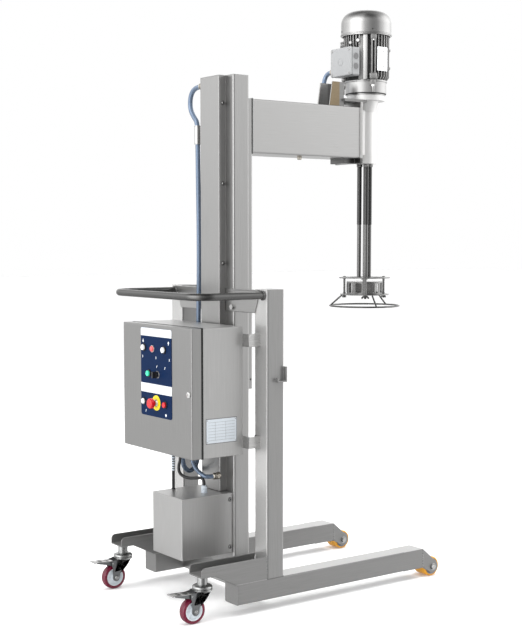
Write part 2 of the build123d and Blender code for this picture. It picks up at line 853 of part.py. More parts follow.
# Lifting actuator: tube and foot on the cross beam, gearbox and motor behind the mast
def build_actuator():
    with BuildPart() as tube:
        with BuildSketch(plan_at(actuator_x, 0, leg_top)):
            Rectangle(actuator_foot_size, actuator_foot_size)
        extrude(amount=actuator_foot_height)
        with BuildSketch(plan_at(actuator_x, 0, leg_top + actuator_foot_height)):
            Circle(actuator_tube_dia / 2)
        extrude(amount=actuator_tube_top - leg_top - actuator_foot_height)
        bore_bottom = leg_top + actuator_foot_height + actuator_tube_wall
        with BuildSketch(plan_at(actuator_x, 0, bore_bottom)):
            Circle(actuator_tube_dia / 2 - actuator_tube_wall)
        extrude(amount=actuator_tube_top - actuator_seal_height - bore_bottom, mode=Mode.SUBTRACT)
        with BuildSketch(plan_at(actuator_x, 0, bore_bottom)):
            Circle(actuator_rod_dia / 2 + running_gap)
        extrude(amount=actuator_tube_top, mode=Mode.SUBTRACT)
    keep(tube.part, "actuator_tube")

    with BuildPart() as gearmotor:
        gearbox_front_x = actuator_x - sqrt((actuator_tube_dia / 2) ** 2 - (actuator_tube_dia / 4) ** 2)
        depth = gearbox_front_x - gearbox_rear_x
        with BuildSketch(plan_at(gearbox_front_x - depth / 2, 0, gearbox_bottom)):
            Rectangle(depth, gearbox_width)
        extrude(amount=gearbox_height)
        with BuildSketch(plan_at(actuator_x, 0, gearbox_bottom)):
            Circle(actuator_tube_dia / 2 + seat_gap)
        extrude(amount=gearbox_height, mode=Mode.SUBTRACT)
        with BuildSketch(plan_at(lift_motor_x, 0, gearbox_bottom + gearbox_height)):
            Circle(lift_motor_dia / 2)
        extrude(amount=lift_motor_height)
    keep(gearmotor.part, "lift_gearmotor")

    with BuildPart() as rod:
        with BuildSketch(plan_at(actuator_x, 0, actuator_tube_top - actuator_rod_overlap)):
            Circle(actuator_rod_dia / 2)
        extrude(amount=rod_bracket_height - actuator_tube_top + actuator_rod_overlap)
    keep(rod.part, "actuator_rod")


# Carriage channel that runs in the mast, with the bracket of the actuator rod
def build_carriage():
    depth = carriage_front_x - carriage_rear_x
    centre_x = carriage_front_x - depth / 2
    with BuildPart() as channel:
        with BuildSketch(plan_at(centre_x, 0, carriage_bottom)) as section:
            Rectangle(depth, carriage_width)
            fillet(section.vertices().group_by(Axis.X)[-1], fold_radius)
            with Locations((-carriage_wall, 0)):
                Rectangle(depth, carriage_width - 2 * carriage_wall, mode=Mode.SUBTRACT)
        extrude(amount=carriage_length)
        with BuildSketch(plan_at(centre_x, 0, rod_bracket_height)):
            Rectangle(depth - carriage_wall, carriage_width - carriage_wall)
        extrude(amount=rod_bracket_plate)
        hole_x = carriage_front_x - stop_hole_back
        with BuildSketch(side_at(hole_x, 0, carriage_bottom + stop_hole_height)):
            Circle(stop_hole_dia / 2)
        extrude(amount=carriage_width, both=True, mode=Mode.SUBTRACT)
    keep(channel.part, "carriage_channel")

    pad_depth = mast_depth - 2 * mast_wall - 2 * guide_gap
    pad_width = mast_inner_half - guide_gap - carriage_width / 2
    pad_x = frame_rear_x + mast_depth / 2
    with BuildPart() as pads:
        for _, side in sides:
            pad_y = side * (carriage_width / 2 + pad_width / 2)
            for pad_z in (
                carriage_bottom + guide_pad_inset,
                carriage_top - guide_pad_inset - guide_pad_length,
            ):
                with BuildSketch(plan_at(pad_x, pad_y, pad_z)):
                    Rectangle(pad_depth, pad_width)
                extrude(amount=guide_pad_length)
    keep(pads.part, "guide_pads")


# Box arm with its end plate and the small bracket below the end
def build_arm():
    length = arm_front_x - carriage_front_x
    middle_z = arm_bottom + arm_height / 2
    with BuildPart() as arm:
        with BuildSketch(front_at(carriage_front_x, 0, middle_z)):
            RectangleRounded(arm_width, arm_height, fold_radius)
            Rectangle(arm_width - 2 * arm_wall, arm_height - 2 * arm_wall, mode=Mode.SUBTRACT)
        extrude(amount=length)
        with BuildSketch(front_at(arm_front_x, 0, middle_z)):
            Rectangle(end_plate_width, arm_height + 2 * end_plate_overhang)
        extrude(amount=end_plate)
        bracket_x = arm_front_x - under_bracket_length / 2
        with BuildSketch(plan_at(bracket_x, 0, arm_bottom - under_bracket_height)):
            Rectangle(under_bracket_length, under_bracket_width)
        extrude(amount=under_bracket_height)
    keep(arm.part, "arm")


# Bracket on the arm: two side plates, a cross plate and the shelf below the flange ring
def build_motor_bracket():
    shelf_top = flange_ring_bottom
    shelf_front_x = mixer_x - sqrt((flange_ring_dia / 2) ** 2 - (shelf_width / 2) ** 2) + shelf_reach
    lantern_clear = lantern_top_radius + bracket_plate
    with BuildPart() as bracket:
        for _, side in sides:
            cheek_y = side * (bracket_spread - bracket_plate) / 2
            with BuildSketch(side_at(0, cheek_y, 0)):
                with BuildLine():
                    Polyline(
                        (bracket_rear_x, arm_top),
                        (bracket_rear_x + bracket_lean, arm_top + bracket_height),
                        (bracket_front_x, arm_top + bracket_height),
                        (bracket_front_x, arm_top),
                        close=True,
                    )
                make_face()
            extrude(amount=bracket_plate / 2, both=True)
        with BuildSketch(plan_at(bracket_front_x - bracket_plate / 2, 0, arm_top)):
            Rectangle(bracket_plate, bracket_spread)
        extrude(amount=bracket_height)
        shelf_length = shelf_front_x - bracket_front_x + bracket_plate
        shelf_x = shelf_front_x - shelf_length / 2
        with BuildSketch(plan_at(shelf_x, 0, shelf_top - shelf_plate)):
            Rectangle(shelf_length, shelf_width)
        extrude(amount=shelf_plate)
        with BuildSketch(plan_at(mixer_x, 0, shelf_top - shelf_plate)):
            Circle(lantern_clear)
        extrude(amount=shelf_plate, mode=Mode.SUBTRACT)
    keep(bracket.part, "motor_bracket")


# Bearing housing with its lantern, clamp plates and three rod nuts below
def build_bearing_housing():
    profile = [
        (housing_bore_dia / 2, housing_bottom),
        (housing_foot_dia / 2, housing_bottom),
        (housing_foot_dia / 2, housing_bottom + housing_foot_height),
        (housing_dia / 2, housing_bottom + housing_foot_height),
        (lantern_foot_radius, housing_top),
        (lantern_top_radius, flange_ring_bottom),
        (flange_ring_dia / 2, flange_ring_bottom),
        (flange_ring_dia / 2, flange_ring_top),
        (housing_bore_dia / 2, flange_ring_top),
    ]
    with BuildPart() as housing:
        with BuildSketch(side_at(mixer_x, 0, 0)):
            with BuildLine():
                Polyline(*profile, close=True)
            make_face()
        revolve(axis=Axis((mixer_x, 0, 0), (0, 0, 1)))
        for bearing_z in (housing_bottom, flange_ring_top - bearing_height):
            with BuildSketch(plan_at(mixer_x, 0, bearing_z)):
                Circle(housing_bore_dia / 2 + bearing_press)
                Circle(shaft_dia / 2 + running_gap, mode=Mode.SUBTRACT)
            extrude(amount=bearing_height)
        clamp_length = mixer_x - end_plate_front_x
        for _, side in sides:
            clamp_y = side * (clamp_spread - clamp_plate) / 2
            with BuildSketch(plan_at(end_plate_front_x + clamp_length / 2, clamp_y, clamp_bottom)):
                Rectangle(clamp_length, clamp_plate)
            extrude(amount=clamp_top - clamp_bottom)
        with BuildSketch(plan_at(mixer_x, 0, clamp_bottom)):
            Circle(housing_bore_dia / 2)
        extrude(amount=clamp_top - clamp_bottom, mode=Mode.SUBTRACT)
    keep(housing.part, "bearing_housing")


# Mixer motor: end shield, finned body and fan cover
def build_motor():
    with BuildPart() as shield:
        with BuildSketch(plan_at(mixer_x, 0, flange_ring_top)):
            Circle(end_shield_dia / 2)
            Circle(housing_bore_dia / 2, mode=Mode.SUBTRACT)
        extrude(amount=end_shield_height)
        fillet(shield.edges().filter_by(GeomType.CIRCLE).group_by(SortBy.RADIUS)[-1], end_shield_edge)
    keep(shield.part, "end_shield")

    with BuildPart() as body:
        with BuildSketch(plan_at(mixer_x, 0, motor_bottom)):
            Circle(motor_core_dia / 2)
            fin_length = (motor_fin_dia - motor_core_dia) / 2 + motor_fin_root
            with PolarLocations(motor_fin_dia / 2 - fin_length / 2, motor_fin_count):
                Rectangle(fin_length, motor_fin_width)
            with PolarLocations(motor_lug_radius, motor_lug_count, start_angle=motor_lug_angle):
                Circle(motor_lug_dia / 2)
            Circle(motor_bore_dia / 2, mode=Mode.SUBTRACT)
        extrude(amount=motor_height)
        with BuildSketch(plan_at(mixer_x, 0, motor_top)):
            Circle(fan_cover_dia / 2 - fan_cover_sheet - seat_gap)
            Circle(shaft_dia / 2 + running_gap, mode=Mode.SUBTRACT)
        extrude(amount=rear_shield_height)
    keep(body.part, "motor_body")

    with BuildPart() as cover:
        for inset, mode in ((0, Mode.ADD), (fan_cover_sheet, Mode.SUBTRACT)):
            radius = fan_cover_dia / 2 - inset
            height = fan_cover_height - inset
            with BuildSketch(side_at(mixer_x, 0, motor_top)) as half:
                with BuildLine():
                    Polyline((0, 0), (radius, 0), (radius, height - fan_cover_crown), (0, height), close=True)
                make_face()
                shoulder = half.vertices().group_by(Axis.X)[-1].sort_by(Axis.Y)[-1]
                fillet(shoulder, fan_cover_shoulder - inset)
            revolve(axis=Axis((mixer_x, 0, 0), (0, 0, 1)), mode=mode)
    keep(cover.part, "fan_cover")


def build_terminal_box():
    bottom_z = terminal_bottom
    middle_z = bottom_z + terminal_height / 2
    box_end_x = terminal_lid_x + terminal_depth
    with BuildPart() as box:
        with BuildSketch(front_at(terminal_lid_x, 0, middle_z)):
            RectangleRounded(terminal_width, terminal_height, terminal_corner)
        extrude(amount=terminal_depth)
        fillet(box.faces().sort_by(Axis.X)[0].edges(), terminal_edge)
        with BuildSketch(front_at(box_end_x, 0, middle_z)):
            Rectangle(terminal_neck_width, terminal_height)
        extrude(amount=mixer_x - motor_core_dia / 2 - box_end_x + terminal_neck_reach)
        with BuildSketch(plan_at(mixer_x, 0, bottom_z)):
            Circle(motor_fin_dia / 2 + fin_gap)
        extrude(amount=terminal_height, mode=Mode.SUBTRACT)
        for offset_z in (-knockout_pitch / 2, knockout_pitch / 2):
            for _, side in sides:
                side_y = side * (terminal_width / 2 - knockout_depth)
                knockout_x = terminal_lid_x + terminal_lid + (terminal_depth - terminal_lid) / 2
                with BuildSketch(side_at(knockout_x, side_y, middle_z + offset_z)):
                    Circle(knockout_dia / 2)
                extrude(amount=-side * 2 * knockout_depth, mode=Mode.SUBTRACT)
    keep(box.part, "terminal_box")


# Turning parts of the mixer: shaft with its core, cooling fan and rotor
def build_rotor_parts():
    fan_bottom = motor_top + fan_lift
    shaft_bottom = stator_bottom + rotor_floor_gap
    with BuildPart() as shaft:
        with BuildSketch(plan_at(mixer_x, 0, shaft_bottom)):
            Circle(shaft_dia / 2)
        extrude(amount=fan_bottom + fan_height - shaft_bottom)
        with BuildSketch(plan_at(mixer_x, 0, motor_bottom + rotor_core_inset)):
            Circle(rotor_core_dia / 2)
        extrude(amount=motor_height - 2 * rotor_core_inset)
    keep(shaft.part, "drive_shaft")

    with BuildPart() as fan:
        with BuildSketch(plan_at(mixer_x, 0, fan_bottom)):
            Circle(fan_hub_dia / 2)
            blade = (fan_dia - fan_hub_dia) / 2 + blade_root
            with PolarLocations(fan_dia / 2 - blade / 2, fan_blades):
                Rectangle(blade, fan_blade_width)
            Circle(shaft_dia / 2, mode=Mode.SUBTRACT)
        extrude(amount=fan_height)
    keep(fan.part, "cooling_fan")

    rotor_radius = stator_dia / 2 - stator_wall - rotor_clearance
    rotor_height = stator_height - rotor_floor_gap
    with BuildPart() as rotor:
        with BuildSketch(plan_at(mixer_x, 0, shaft_bottom)):
            Circle(rotor_hub_dia / 2)
            blade = rotor_radius - rotor_hub_dia / 2 + blade_root
            with PolarLocations(rotor_radius - blade / 2, rotor_blades):
                Rectangle(blade, rotor_blade_width)
            Circle(shaft_dia / 2, mode=Mode.SUBTRACT)
        extrude(amount=rotor_height)
        with BuildSketch(plan_at(mixer_x, 0, shaft_bottom + rotor_height - rotor_disc)):
            Circle(rotor_radius)
            Circle(shaft_dia / 2, mode=Mode.SUBTRACT)
        extrude(amount=rotor_disc)
    keep(rotor.part, "rotor")


# Three support rods of the stem, with sleeves above and lock nuts under the housing
def build_head_rods():
    with BuildPart() as rods:
        with BuildSketch(plan_at(mixer_x, 0, head_top)):
            with PolarLocations(rod_offset, rod_count):
                Circle(rod_dia / 2)
        extrude(amount=rod_nut_bottom - head_top)
        with BuildSketch(plan_at(mixer_x, 0, rod_sleeve_bottom)):
            with PolarLocations(rod_offset, rod_count):
                Circle(rod_sleeve_dia / 2)
        extrude(amount=rod_nut_bottom - rod_sleeve_bottom)
        with BuildSketch(plan_at(mixer_x, 0, rod_nut_bottom)):
            with PolarLocations(rod_offset, rod_count):
                RegularPolygon(rod_nut_flats / 2, 6, major_radius=False)
        extrude(amount=rod_nut_height)
    keep(rods.part, "head_rods")


def head_plate_openings(outer_radius, inner_radius):
    """Cut three curved openings between the pillars of a head plate."""
    Circle(outer_radius, mode=Mode.SUBTRACT)
    Circle(inner_radius)
    with PolarLocations((outer_radius + inner_radius) / 2, pillar_count, start_angle=pillar_angle):
        Rectangle(outer_radius - inner_radius + 2 * plate_bridge_lap, plate_bridge)


def build_mixing_head():
    opening_outer = pillar_offset - plate_opening_margin
    with BuildPart() as top_plate:
        with BuildSketch(plan_at(mixer_x, 0, head_top - head_plate)):
            Circle(head_top_dia / 2)
            head_plate_openings(opening_outer, head_hub_dia / 2)
            Circle(shaft_dia / 2 + rotor_clearance, mode=Mode.SUBTRACT)
        extrude(amount=head_plate)
        bush_bottom = head_top - head_plate - head_bush_height
        with BuildSketch(plan_at(mixer_x, 0, bush_bottom)):
            Circle(head_bush_dia / 2)
            Circle(shaft_dia / 2 + running_gap, mode=Mode.SUBTRACT)
        extrude(amount=head_bush_height)
    keep(top_plate.part, "head_top_plate")

    with BuildPart() as bottom_plate:
        with BuildSketch(plan_at(mixer_x, 0, head_bottom)):
            Circle(head_bottom_dia / 2)
            Circle(bottom_opening_dia / 2, mode=Mode.SUBTRACT)
        extrude(amount=head_plate)
    keep(bottom_plate.part, "head_bottom_plate")

    with BuildPart() as stator:
        with BuildSketch(plan_at(mixer_x, 0, stator_bottom)):
            Circle(stator_dia / 2)
            Circle(stator_dia / 2 - stator_wall, mode=Mode.SUBTRACT)
        extrude(amount=stator_height)
        for index in range(stator_windows):
            turn = index * 360 / stator_windows
            outward = (cos(radians(turn)), sin(radians(turn)), 0)
            window = Plane(
                origin=(mixer_x, 0, stator_bottom + stator_height / 2),
                x_dir=(-outward[1], outward[0], 0),
                z_dir=outward,
            )
            with BuildSketch(window):
                RectangleRounded(stator_window_width, stator_window_height, stator_window_radius)
            extrude(amount=stator_dia, mode=Mode.SUBTRACT)
    keep(stator.part, "stator")

    with BuildPart() as fasteners:
        with BuildSketch(plan_at(mixer_x, 0, stator_bottom)):
            with PolarLocations(pillar_offset, pillar_count, start_angle=pillar_angle):
                Circle(pillar_dia / 2)
        extrude(amount=head_depth - 2 * head_plate)
        with BuildSketch(plan_at(mixer_x, 0, head_bottom - wing_nut_height)):
            with PolarLocations(pillar_offset, pillar_count, start_angle=pillar_angle):
                Circle(wing_nut_dia / 2)
        extrude(amount=wing_nut_height)
        with BuildSketch(plan_at(mixer_x, 0, head_bottom - wing_height)):
            with PolarLocations(pillar_offset, pillar_count, start_angle=pillar_angle):
                Rectangle(wing_plate, wing_span)
        extrude(amount=wing_height - wing_drop)
    keep(fasteners.part, "head_fasteners")


# Splash and hand guard: a wire ring on three wire legs
def build_guard_ring():
    ring_radius = (guard_ring_dia - guard_rod_dia) / 2
    spread = ring_radius - guard_leg_top_radius
    rise = head_bottom - guard_ring_height
    leg_top_z = head_bottom - guard_rod_dia / 2 * spread / sqrt(spread**2 + rise**2) - seat_gap
    with BuildPart() as guard:
        with BuildSketch(side_at(mixer_x + ring_radius, 0, guard_ring_height)):
            Circle(guard_rod_dia / 2)
        revolve(axis=Axis((mixer_x, 0, 0), (0, 0, 1)))
        for index in range(pillar_count):
            turn = radians(guard_leg_angle + index * 360 / pillar_count)
            foot = Vector(mixer_x + ring_radius * cos(turn), ring_radius * sin(turn), guard_ring_height)
            top = Vector(
                mixer_x + guard_leg_top_radius * cos(turn),
                guard_leg_top_radius * sin(turn),
                leg_top_z,
            )
            with BuildSketch(Plane(origin=foot, z_dir=top - foot)):
                Circle(guard_rod_dia / 2)
            extrude(amount=(top - foot).length)
    keep(guard.part, "guard_ring")


# Control box: folded body with a rim, seal, mounting plate with its devices
def build_box():
    with BuildPart() as box:
        with BuildSketch(front_at(box_rear_x, 0, box_bottom + box_height / 2)):
            RectangleRounded(box_width, box_height, door_fold_radius)
        extrude(amount=box_depth)
        with BuildSketch(front_at(box_rear_x, 0, box_bottom + box_height / 2)):
            Rectangle(box_width - 2 * box_rim, box_height - 2 * box_rim)
        extrude(amount=box_sheet, mode=Mode.SUBTRACT)
        with BuildSketch(front_at(box_rear_x + box_sheet, 0, box_bottom + box_height / 2)):
            Rectangle(box_width - 2 * box_sheet, box_height - 2 * box_sheet)
        extrude(amount=box_depth - 2 * box_sheet, mode=Mode.SUBTRACT)
        for hinge_z in (box_bottom + hinge_inset, box_top - hinge_inset):
            for step in (-1, 1):
                knuckle_z = hinge_z + step * hinge_knuckle - hinge_knuckle / 2
                with BuildSketch(plan_at(hinge_x, hinge_y, knuckle_z)):
                    Circle(hinge_dia / 2)
                extrude(amount=hinge_knuckle)
                leaf_x = hinge_x + hinge_leaf_reach / 2
                with BuildSketch(plan_at(leaf_x, box_width / 2 + hinge_leaf / 2, knuckle_z)):
                    Rectangle(hinge_leaf_reach, hinge_leaf)
                extrude(amount=hinge_knuckle)
            with BuildSketch(plan_at(hinge_x, hinge_y, hinge_z - hinge_knuckle / 2)):
                Circle(hinge_pin_dia / 2)
            extrude(amount=hinge_knuckle)
    keep(box.part, "box_body")

    with BuildPart() as seal:
        with BuildSketch(front_at(seal_rear_x, 0, box_bottom + box_height / 2)):
            Rectangle(box_width - 2 * seal_inset, box_height - 2 * seal_inset)
            Rectangle(box_width - 2 * seal_width, box_height - 2 * seal_width, mode=Mode.SUBTRACT)
        extrude(amount=seal_plate)
    keep(seal.part, "door_seal")

    with BuildPart() as devices:
        plate_width = box_width - 2 * mounting_inset
        plate_height = box_height - 2 * mounting_inset
        with BuildSketch(front_at(mounting_face_x, 0, box_bottom + box_height / 2)):
            Rectangle(plate_width, plate_height)
        extrude(amount=mounting_plate)
        for _, side in sides:
            for level in (-1, 1):
                stud_y = side * (plate_width / 2 - mounting_standoff)
                stud_z = box_bottom + box_height / 2 + level * (plate_height / 2 - mounting_standoff)
                with BuildSketch(front_at(mounting_face_x + mounting_plate, stud_y, stud_z)):
                    Circle(mounting_stud_dia / 2)
                extrude(amount=mounting_standoff)
        inverter_y = plate_width / 2 - inverter_width / 2 - mounting_standoff
        inverter_z = box_top - mounting_inset - mounting_standoff - inverter_height / 2
        with BuildSketch(front_at(mounting_face_x, inverter_y, inverter_z)):
            Rectangle(inverter_width, inverter_height)
        extrude(amount=-inverter_depth)
        for index in range(relay_count):
            relay_y = inverter_y - inverter_width / 2 + (index + 0.5) * (relay_width + relay_gap)
            relay_z = box_bottom + mounting_inset + mounting_standoff + relay_height / 2
            with BuildSketch(front_at(mounting_face_x, relay_y, relay_z)):
                Rectangle(relay_width, relay_height)
            extrude(amount=-relay_depth)
    keep(devices.part, "drive_electronics")


# Door of the control box with its hinge knuckles and the holes of the controls
def build_door():
    middle_z = box_bottom + box_height / 2
    with BuildPart() as door:
        with BuildSketch(front_at(door_front_x, 0, middle_z)):
            Rectangle(box_width, box_height)
        extrude(amount=door_depth)
        fillet(door.edges().filter_by(Axis.X) + door.faces().sort_by(Axis.X)[0].edges(), door_fold_radius)
        with BuildSketch(front_at(door_front_x + door_sheet, 0, middle_z)):
            Rectangle(box_width - 2 * door_sheet, box_height - 2 * door_sheet)
        extrude(amount=door_depth, mode=Mode.SUBTRACT)
        for place_y, place_z in control_places:
            with BuildSketch(front_at(door_front_x, place_y, place_z)):
                Circle(control_hole_dia / 2)
            extrude(amount=door_sheet, mode=Mode.SUBTRACT)
        with BuildSketch(front_at(door_front_x, lock_y, lock_z)):
            Circle(lock_stem_dia / 2 + running_gap)
        extrude(amount=door_sheet, mode=Mode.SUBTRACT)
        for hinge_z in (box_bottom + hinge_inset, box_top - hinge_inset):
            knuckle_z = hinge_z - hinge_knuckle / 2 + running_gap
            knuckle_height = hinge_knuckle - 2 * running_gap
            with BuildSketch(plan_at(hinge_x, hinge_y, knuckle_z)):
                Circle(hinge_dia / 2)
            extrude(amount=knuckle_height)
            leaf_x = hinge_x - hinge_leaf_reach / 2
            with BuildSketch(plan_at(leaf_x, box_width / 2 + hinge_leaf / 2, knuckle_z)):
                Rectangle(hinge_leaf_reach, hinge_leaf)
            extrude(amount=knuckle_height)
            with BuildSketch(plan_at(hinge_x, hinge_y, knuckle_z)):
                Circle(hinge_pin_dia / 2 + running_gap)
            extrude(amount=knuckle_height, mode=Mode.SUBTRACT)
    keep(door.part, "door_panel")


# Overlay, fixed collars, lamps and the moving controls
def build_overlay():
    with BuildPart() as overlay:
        with BuildSketch(front_at(overlay_face_x, 0, overlay_bottom + overlay_height / 2)):
            RectangleRounded(overlay_width, overlay_height, overlay_corner)
        extrude(amount=overlay_plate)
        for place_y, place_z in control_places:
            with BuildSketch(front_at(overlay_face_x, place_y, place_z)):
                Circle(control_hole_dia / 2)
            extrude(amount=overlay_plate, mode=Mode.SUBTRACT)
    keep(overlay.part, "control_overlay")


def build_collars():
    bore = control_hole_dia / 2
    with BuildPart() as collars:
        for place_y, place_z in control_places:
            is_stop = (place_y, place_z) == estop_place
            outer = estop_disc_dia / 2 if is_stop else collar_dia / 2
            height = estop_disc if is_stop else collar_height
            with BuildSketch(front_at(overlay_face_x - height, place_y, place_z)):
                Circle(outer)
                Circle(bore, mode=Mode.SUBTRACT)
            extrude(amount=height)
            with BuildSketch(front_at(door_front_x + door_sheet, place_y, place_z)):
                Rectangle(block_size, block_size)
            extrude(amount=block_depth)
            with BuildSketch(front_at(door_front_x + door_sheet, place_y, place_z)):
                Circle(estop_stem_dia / 2 + running_gap if is_stop else plunger_dia / 2 + running_gap)
            extrude(amount=block_depth - door_sheet, mode=Mode.SUBTRACT)
    keep(collars.part, "control_collars")


def build_button(name, place, travel):
    plunger_end = door_front_x + door_sheet + block_depth - door_sheet - travel - running_gap
    cap_rear_x = overlay_face_x - cap_stand
    with BuildPart() as button:
        with BuildSketch(front_at(cap_rear_x - cap_height, *place)):
            Circle(cap_dia / 2)
        extrude(amount=cap_height)
        fillet(button.faces().sort_by(Axis.X)[0].edges(), cap_edge)
        with BuildSketch(front_at(cap_rear_x, *place)):
            Circle(plunger_dia / 2)
        extrude(amount=plunger_end - cap_rear_x)
    keep(button.part, name)


def build_lamps():
    with BuildPart() as lamps:
        for place in (fault_lamp, power_lamp):
            with BuildSketch(front_at(overlay_face_x - cap_stand - cap_height, *place)):
                Circle(cap_dia / 2)
            extrude(amount=cap_height + cap_stand)
            with BuildSketch(front_at(overlay_face_x, *place)):
                Circle(plunger_dia / 2)
            extrude(amount=overlay_plate + door_sheet + block_depth / 2)
    keep(lamps.part, "pilot_lamps")


def build_estop():
    stem_end = door_front_x + block_depth - estop_travel - running_gap
    cap_rear_x = overlay_face_x - estop_stand
    with BuildPart() as estop:
        with BuildSketch(front_at(cap_rear_x - estop_cap, *estop_place)):
            Circle(estop_dia / 2)
        extrude(amount=estop_cap)
        fillet(estop.faces().sort_by(Axis.X)[0].edges(), estop_edge)
        with BuildSketch(front_at(cap_rear_x, *estop_place)):
            Circle(estop_stem_dia / 2)
        extrude(amount=stem_end - cap_rear_x)
    keep(estop.part, "estop")


def build_selector():
    base_rear_x = overlay_face_x - collar_height - running_gap
    with BuildPart() as selector:
        with BuildSketch(front_at(base_rear_x - selector_base, *selector_place)):
            Circle(selector_dia / 2)
        extrude(amount=selector_base)
        with BuildSketch(front_at(base_rear_x - selector_base - selector_grip_height, *selector_place)):
            Rectangle(selector_grip_width, selector_dia)
        extrude(amount=selector_grip_height)
        with BuildSketch(front_at(base_rear_x, *selector_place)):
            Circle(plunger_dia / 2)
        extrude(amount=door_front_x + block_depth / 2 - base_rear_x)
    keep(selector.part, "selector")


def build_lock():
    with BuildPart() as lock:
        with BuildSketch(front_at(door_front_x - lock_head, lock_y, lock_z)):
            Circle(lock_dia / 2)
        extrude(amount=lock_head)
        with BuildSketch(front_at(door_front_x, lock_y, lock_z)):
            Circle(lock_stem_dia / 2)
        extrude(amount=lock_stem)
        cam_x = door_front_x + lock_stem - lock_cam_plate
        with BuildSketch(front_at(cam_x, lock_y, lock_z + lock_cam_length / 2)):
            Rectangle(lock_stem_dia, lock_cam_length + lock_stem_dia)
        extrude(amount=lock_cam_plate)
    keep(lock.part, "door_lock")


# Routes of the conduits and cables
riser_route = [
    (-275, 88, 2059), (-275, 128, 2059), (-275, 163, 2030), (-275, 166, 1976),
    (-274, 138, 1940), (-274, 112, 1918), (-274, 112, 1800), (-274, 103, 1363),
    (-274, 114, 1110), (-275, 113, 640), (-278, 110, 560), (-296, 104, 512),
    (-330, 96, 494), (-362, 90, 516), (-372, 88, 560), (-372, 88, 594),
]
mast_conduit_route = [
    (-362, 32, 594), (-362, 32, 558), (-362, 2, 522), (-357, -44, 502), (-349, -60, 498), (-322, -60, 498),
]
lift_cable_route = [(-410, 96, 512), (-410, 96, 436)]
sensor_cable_route = [
    (-407, 46, 594), (-407, 46, 560), (-406, 64, 528), (-399, 66, 496),
    (-382, 34, 482), (-364, -8, 488), (-351, -42, 492), (-351, -42, 462),
]
motor_conduit_route = [
    (405, 90, 2166), (405, 116, 2166), (398, 132, 2136), (380, 112, 2090), (346, 64, 2050), (346, 64, 2016),
]


def gland(origin, direction, diameter, length):
    """Round gland body with a hexagon nut in its middle, along a direction from its seat."""
    with BuildSketch(Plane(origin=origin, z_dir=direction)) as body:
        Circle(diameter / 2)
    extrude(body.sketch, amount=length)
    middle = Vector(*origin) + Vector(*direction) * (length / 3)
    with BuildSketch(Plane(origin=middle, z_dir=direction)) as nut:
        RegularPolygon(diameter / 2 + gland_nut_rim, 6, major_radius=False)
    extrude(nut.sketch, amount=length / 3)


def build_glands():
    riser_x, riser_y, riser_end = riser_route[-1]
    mast_x, mast_y, mast_start = mast_conduit_route[0]
    nickel_x, nickel_y, nickel_z = mast_conduit_route[-1]
    lift_x, lift_y, relief_end = lift_cable_route[0]
    sensor_x, sensor_y, sensor_start = sensor_cable_route[0]
    white_x, white_y, white_top = sensor_cable_route[-1]
    top_x, top_y, top_z = riser_route[0]
    sleeve_x, sleeve_y, _ = riser_route[6]
    with BuildPart() as glands:
        gland((top_x, cover_width / 2, top_z), (0, 1, 0), riser_gland_dia, top_y - cover_width / 2)
        gland((riser_x, riser_y, box_bottom), (0, 0, -1), riser_gland_dia, box_bottom - riser_end)
        gland((mast_x, mast_y, box_bottom), (0, 0, -1), riser_gland_dia, box_bottom - mast_start)
        gland((cover_rear_x, nickel_y, nickel_z), (-1, 0, 0), riser_gland_dia, cover_rear_x - nickel_x)
        gland((lift_x, lift_y, box_bottom), (0, 0, -1), cable_gland_dia, cable_gland_length)
        with BuildSketch(plan_at(lift_x, lift_y, relief_end)):
            Circle(relief_dia / 2)
        extrude(amount=box_bottom - cable_gland_length - relief_end)
        gland((sensor_x, sensor_y, box_bottom), (0, 0, -1), cable_gland_dia, box_bottom - sensor_start)
        gland((white_x, white_y, lower_cover_top), (0, 0, 1), cable_gland_dia, white_top - lower_cover_top)
        with BuildSketch(plan_at(lift_x, lift_y, lower_cover_top)):
            Circle(relief_dia / 2)
        extrude(amount=lift_cable_route[-1][2] - lower_cover_top)
        with BuildSketch(plan_at(sleeve_x, sleeve_y, sleeve_bottom)):
            with Locations((frame_rear_x - sleeve_x - clip_strap / 2, 0)):
                Rectangle(clip_strap, sleeve_dia)
            Circle(sleeve_dia / 2)
            Circle(riser_dia / 2 + running_gap, mode=Mode.SUBTRACT)
        extrude(amount=sleeve_height)
    keep(glands.part, "cable_glands")

    start_x, start_y, start_z = motor_conduit_route[0]
    foot_x, foot_y, foot_z = motor_conduit_route[-1]
    with BuildPart() as arm_glands:
        start_length = start_y - terminal_width / 2
        gland((start_x, terminal_width / 2, start_z), (0, 1, 0), riser_gland_dia, start_length)
        gland((foot_x, foot_y, arm_top), (0, 0, 1), riser_gland_dia, foot_z - arm_top)
        gland((arm_gland_x, arm_gland_y, arm_bottom), (0, 0, -1), arm_gland_dia, arm_gland_length)
    keep(arm_glands.part, "arm_glands")


def build_conduits():
    with BuildPart() as conduits:
        add_tube(riser_route, riser_dia, "riser conduit")
        add_tube(mast_conduit_route, mast_conduit_dia, "mast conduit")
    keep(conduits.part, "frame_conduits")
    with BuildPart() as cables:
        with BuildSketch(plan_at(*lift_cable_route[1])):
            Circle(cable_dia / 2)
        extrude(amount=lift_cable_route[0][2] - lift_cable_route[1][2])
        add_tube(sensor_cable_route, cable_dia, "sensor cable")
    keep(cables.part, "lift_cables")
    with BuildPart() as motor_conduit:
        add_tube(motor_conduit_route, motor_conduit_dia, "motor conduit")
    keep(motor_conduit.part, "motor_conduit")


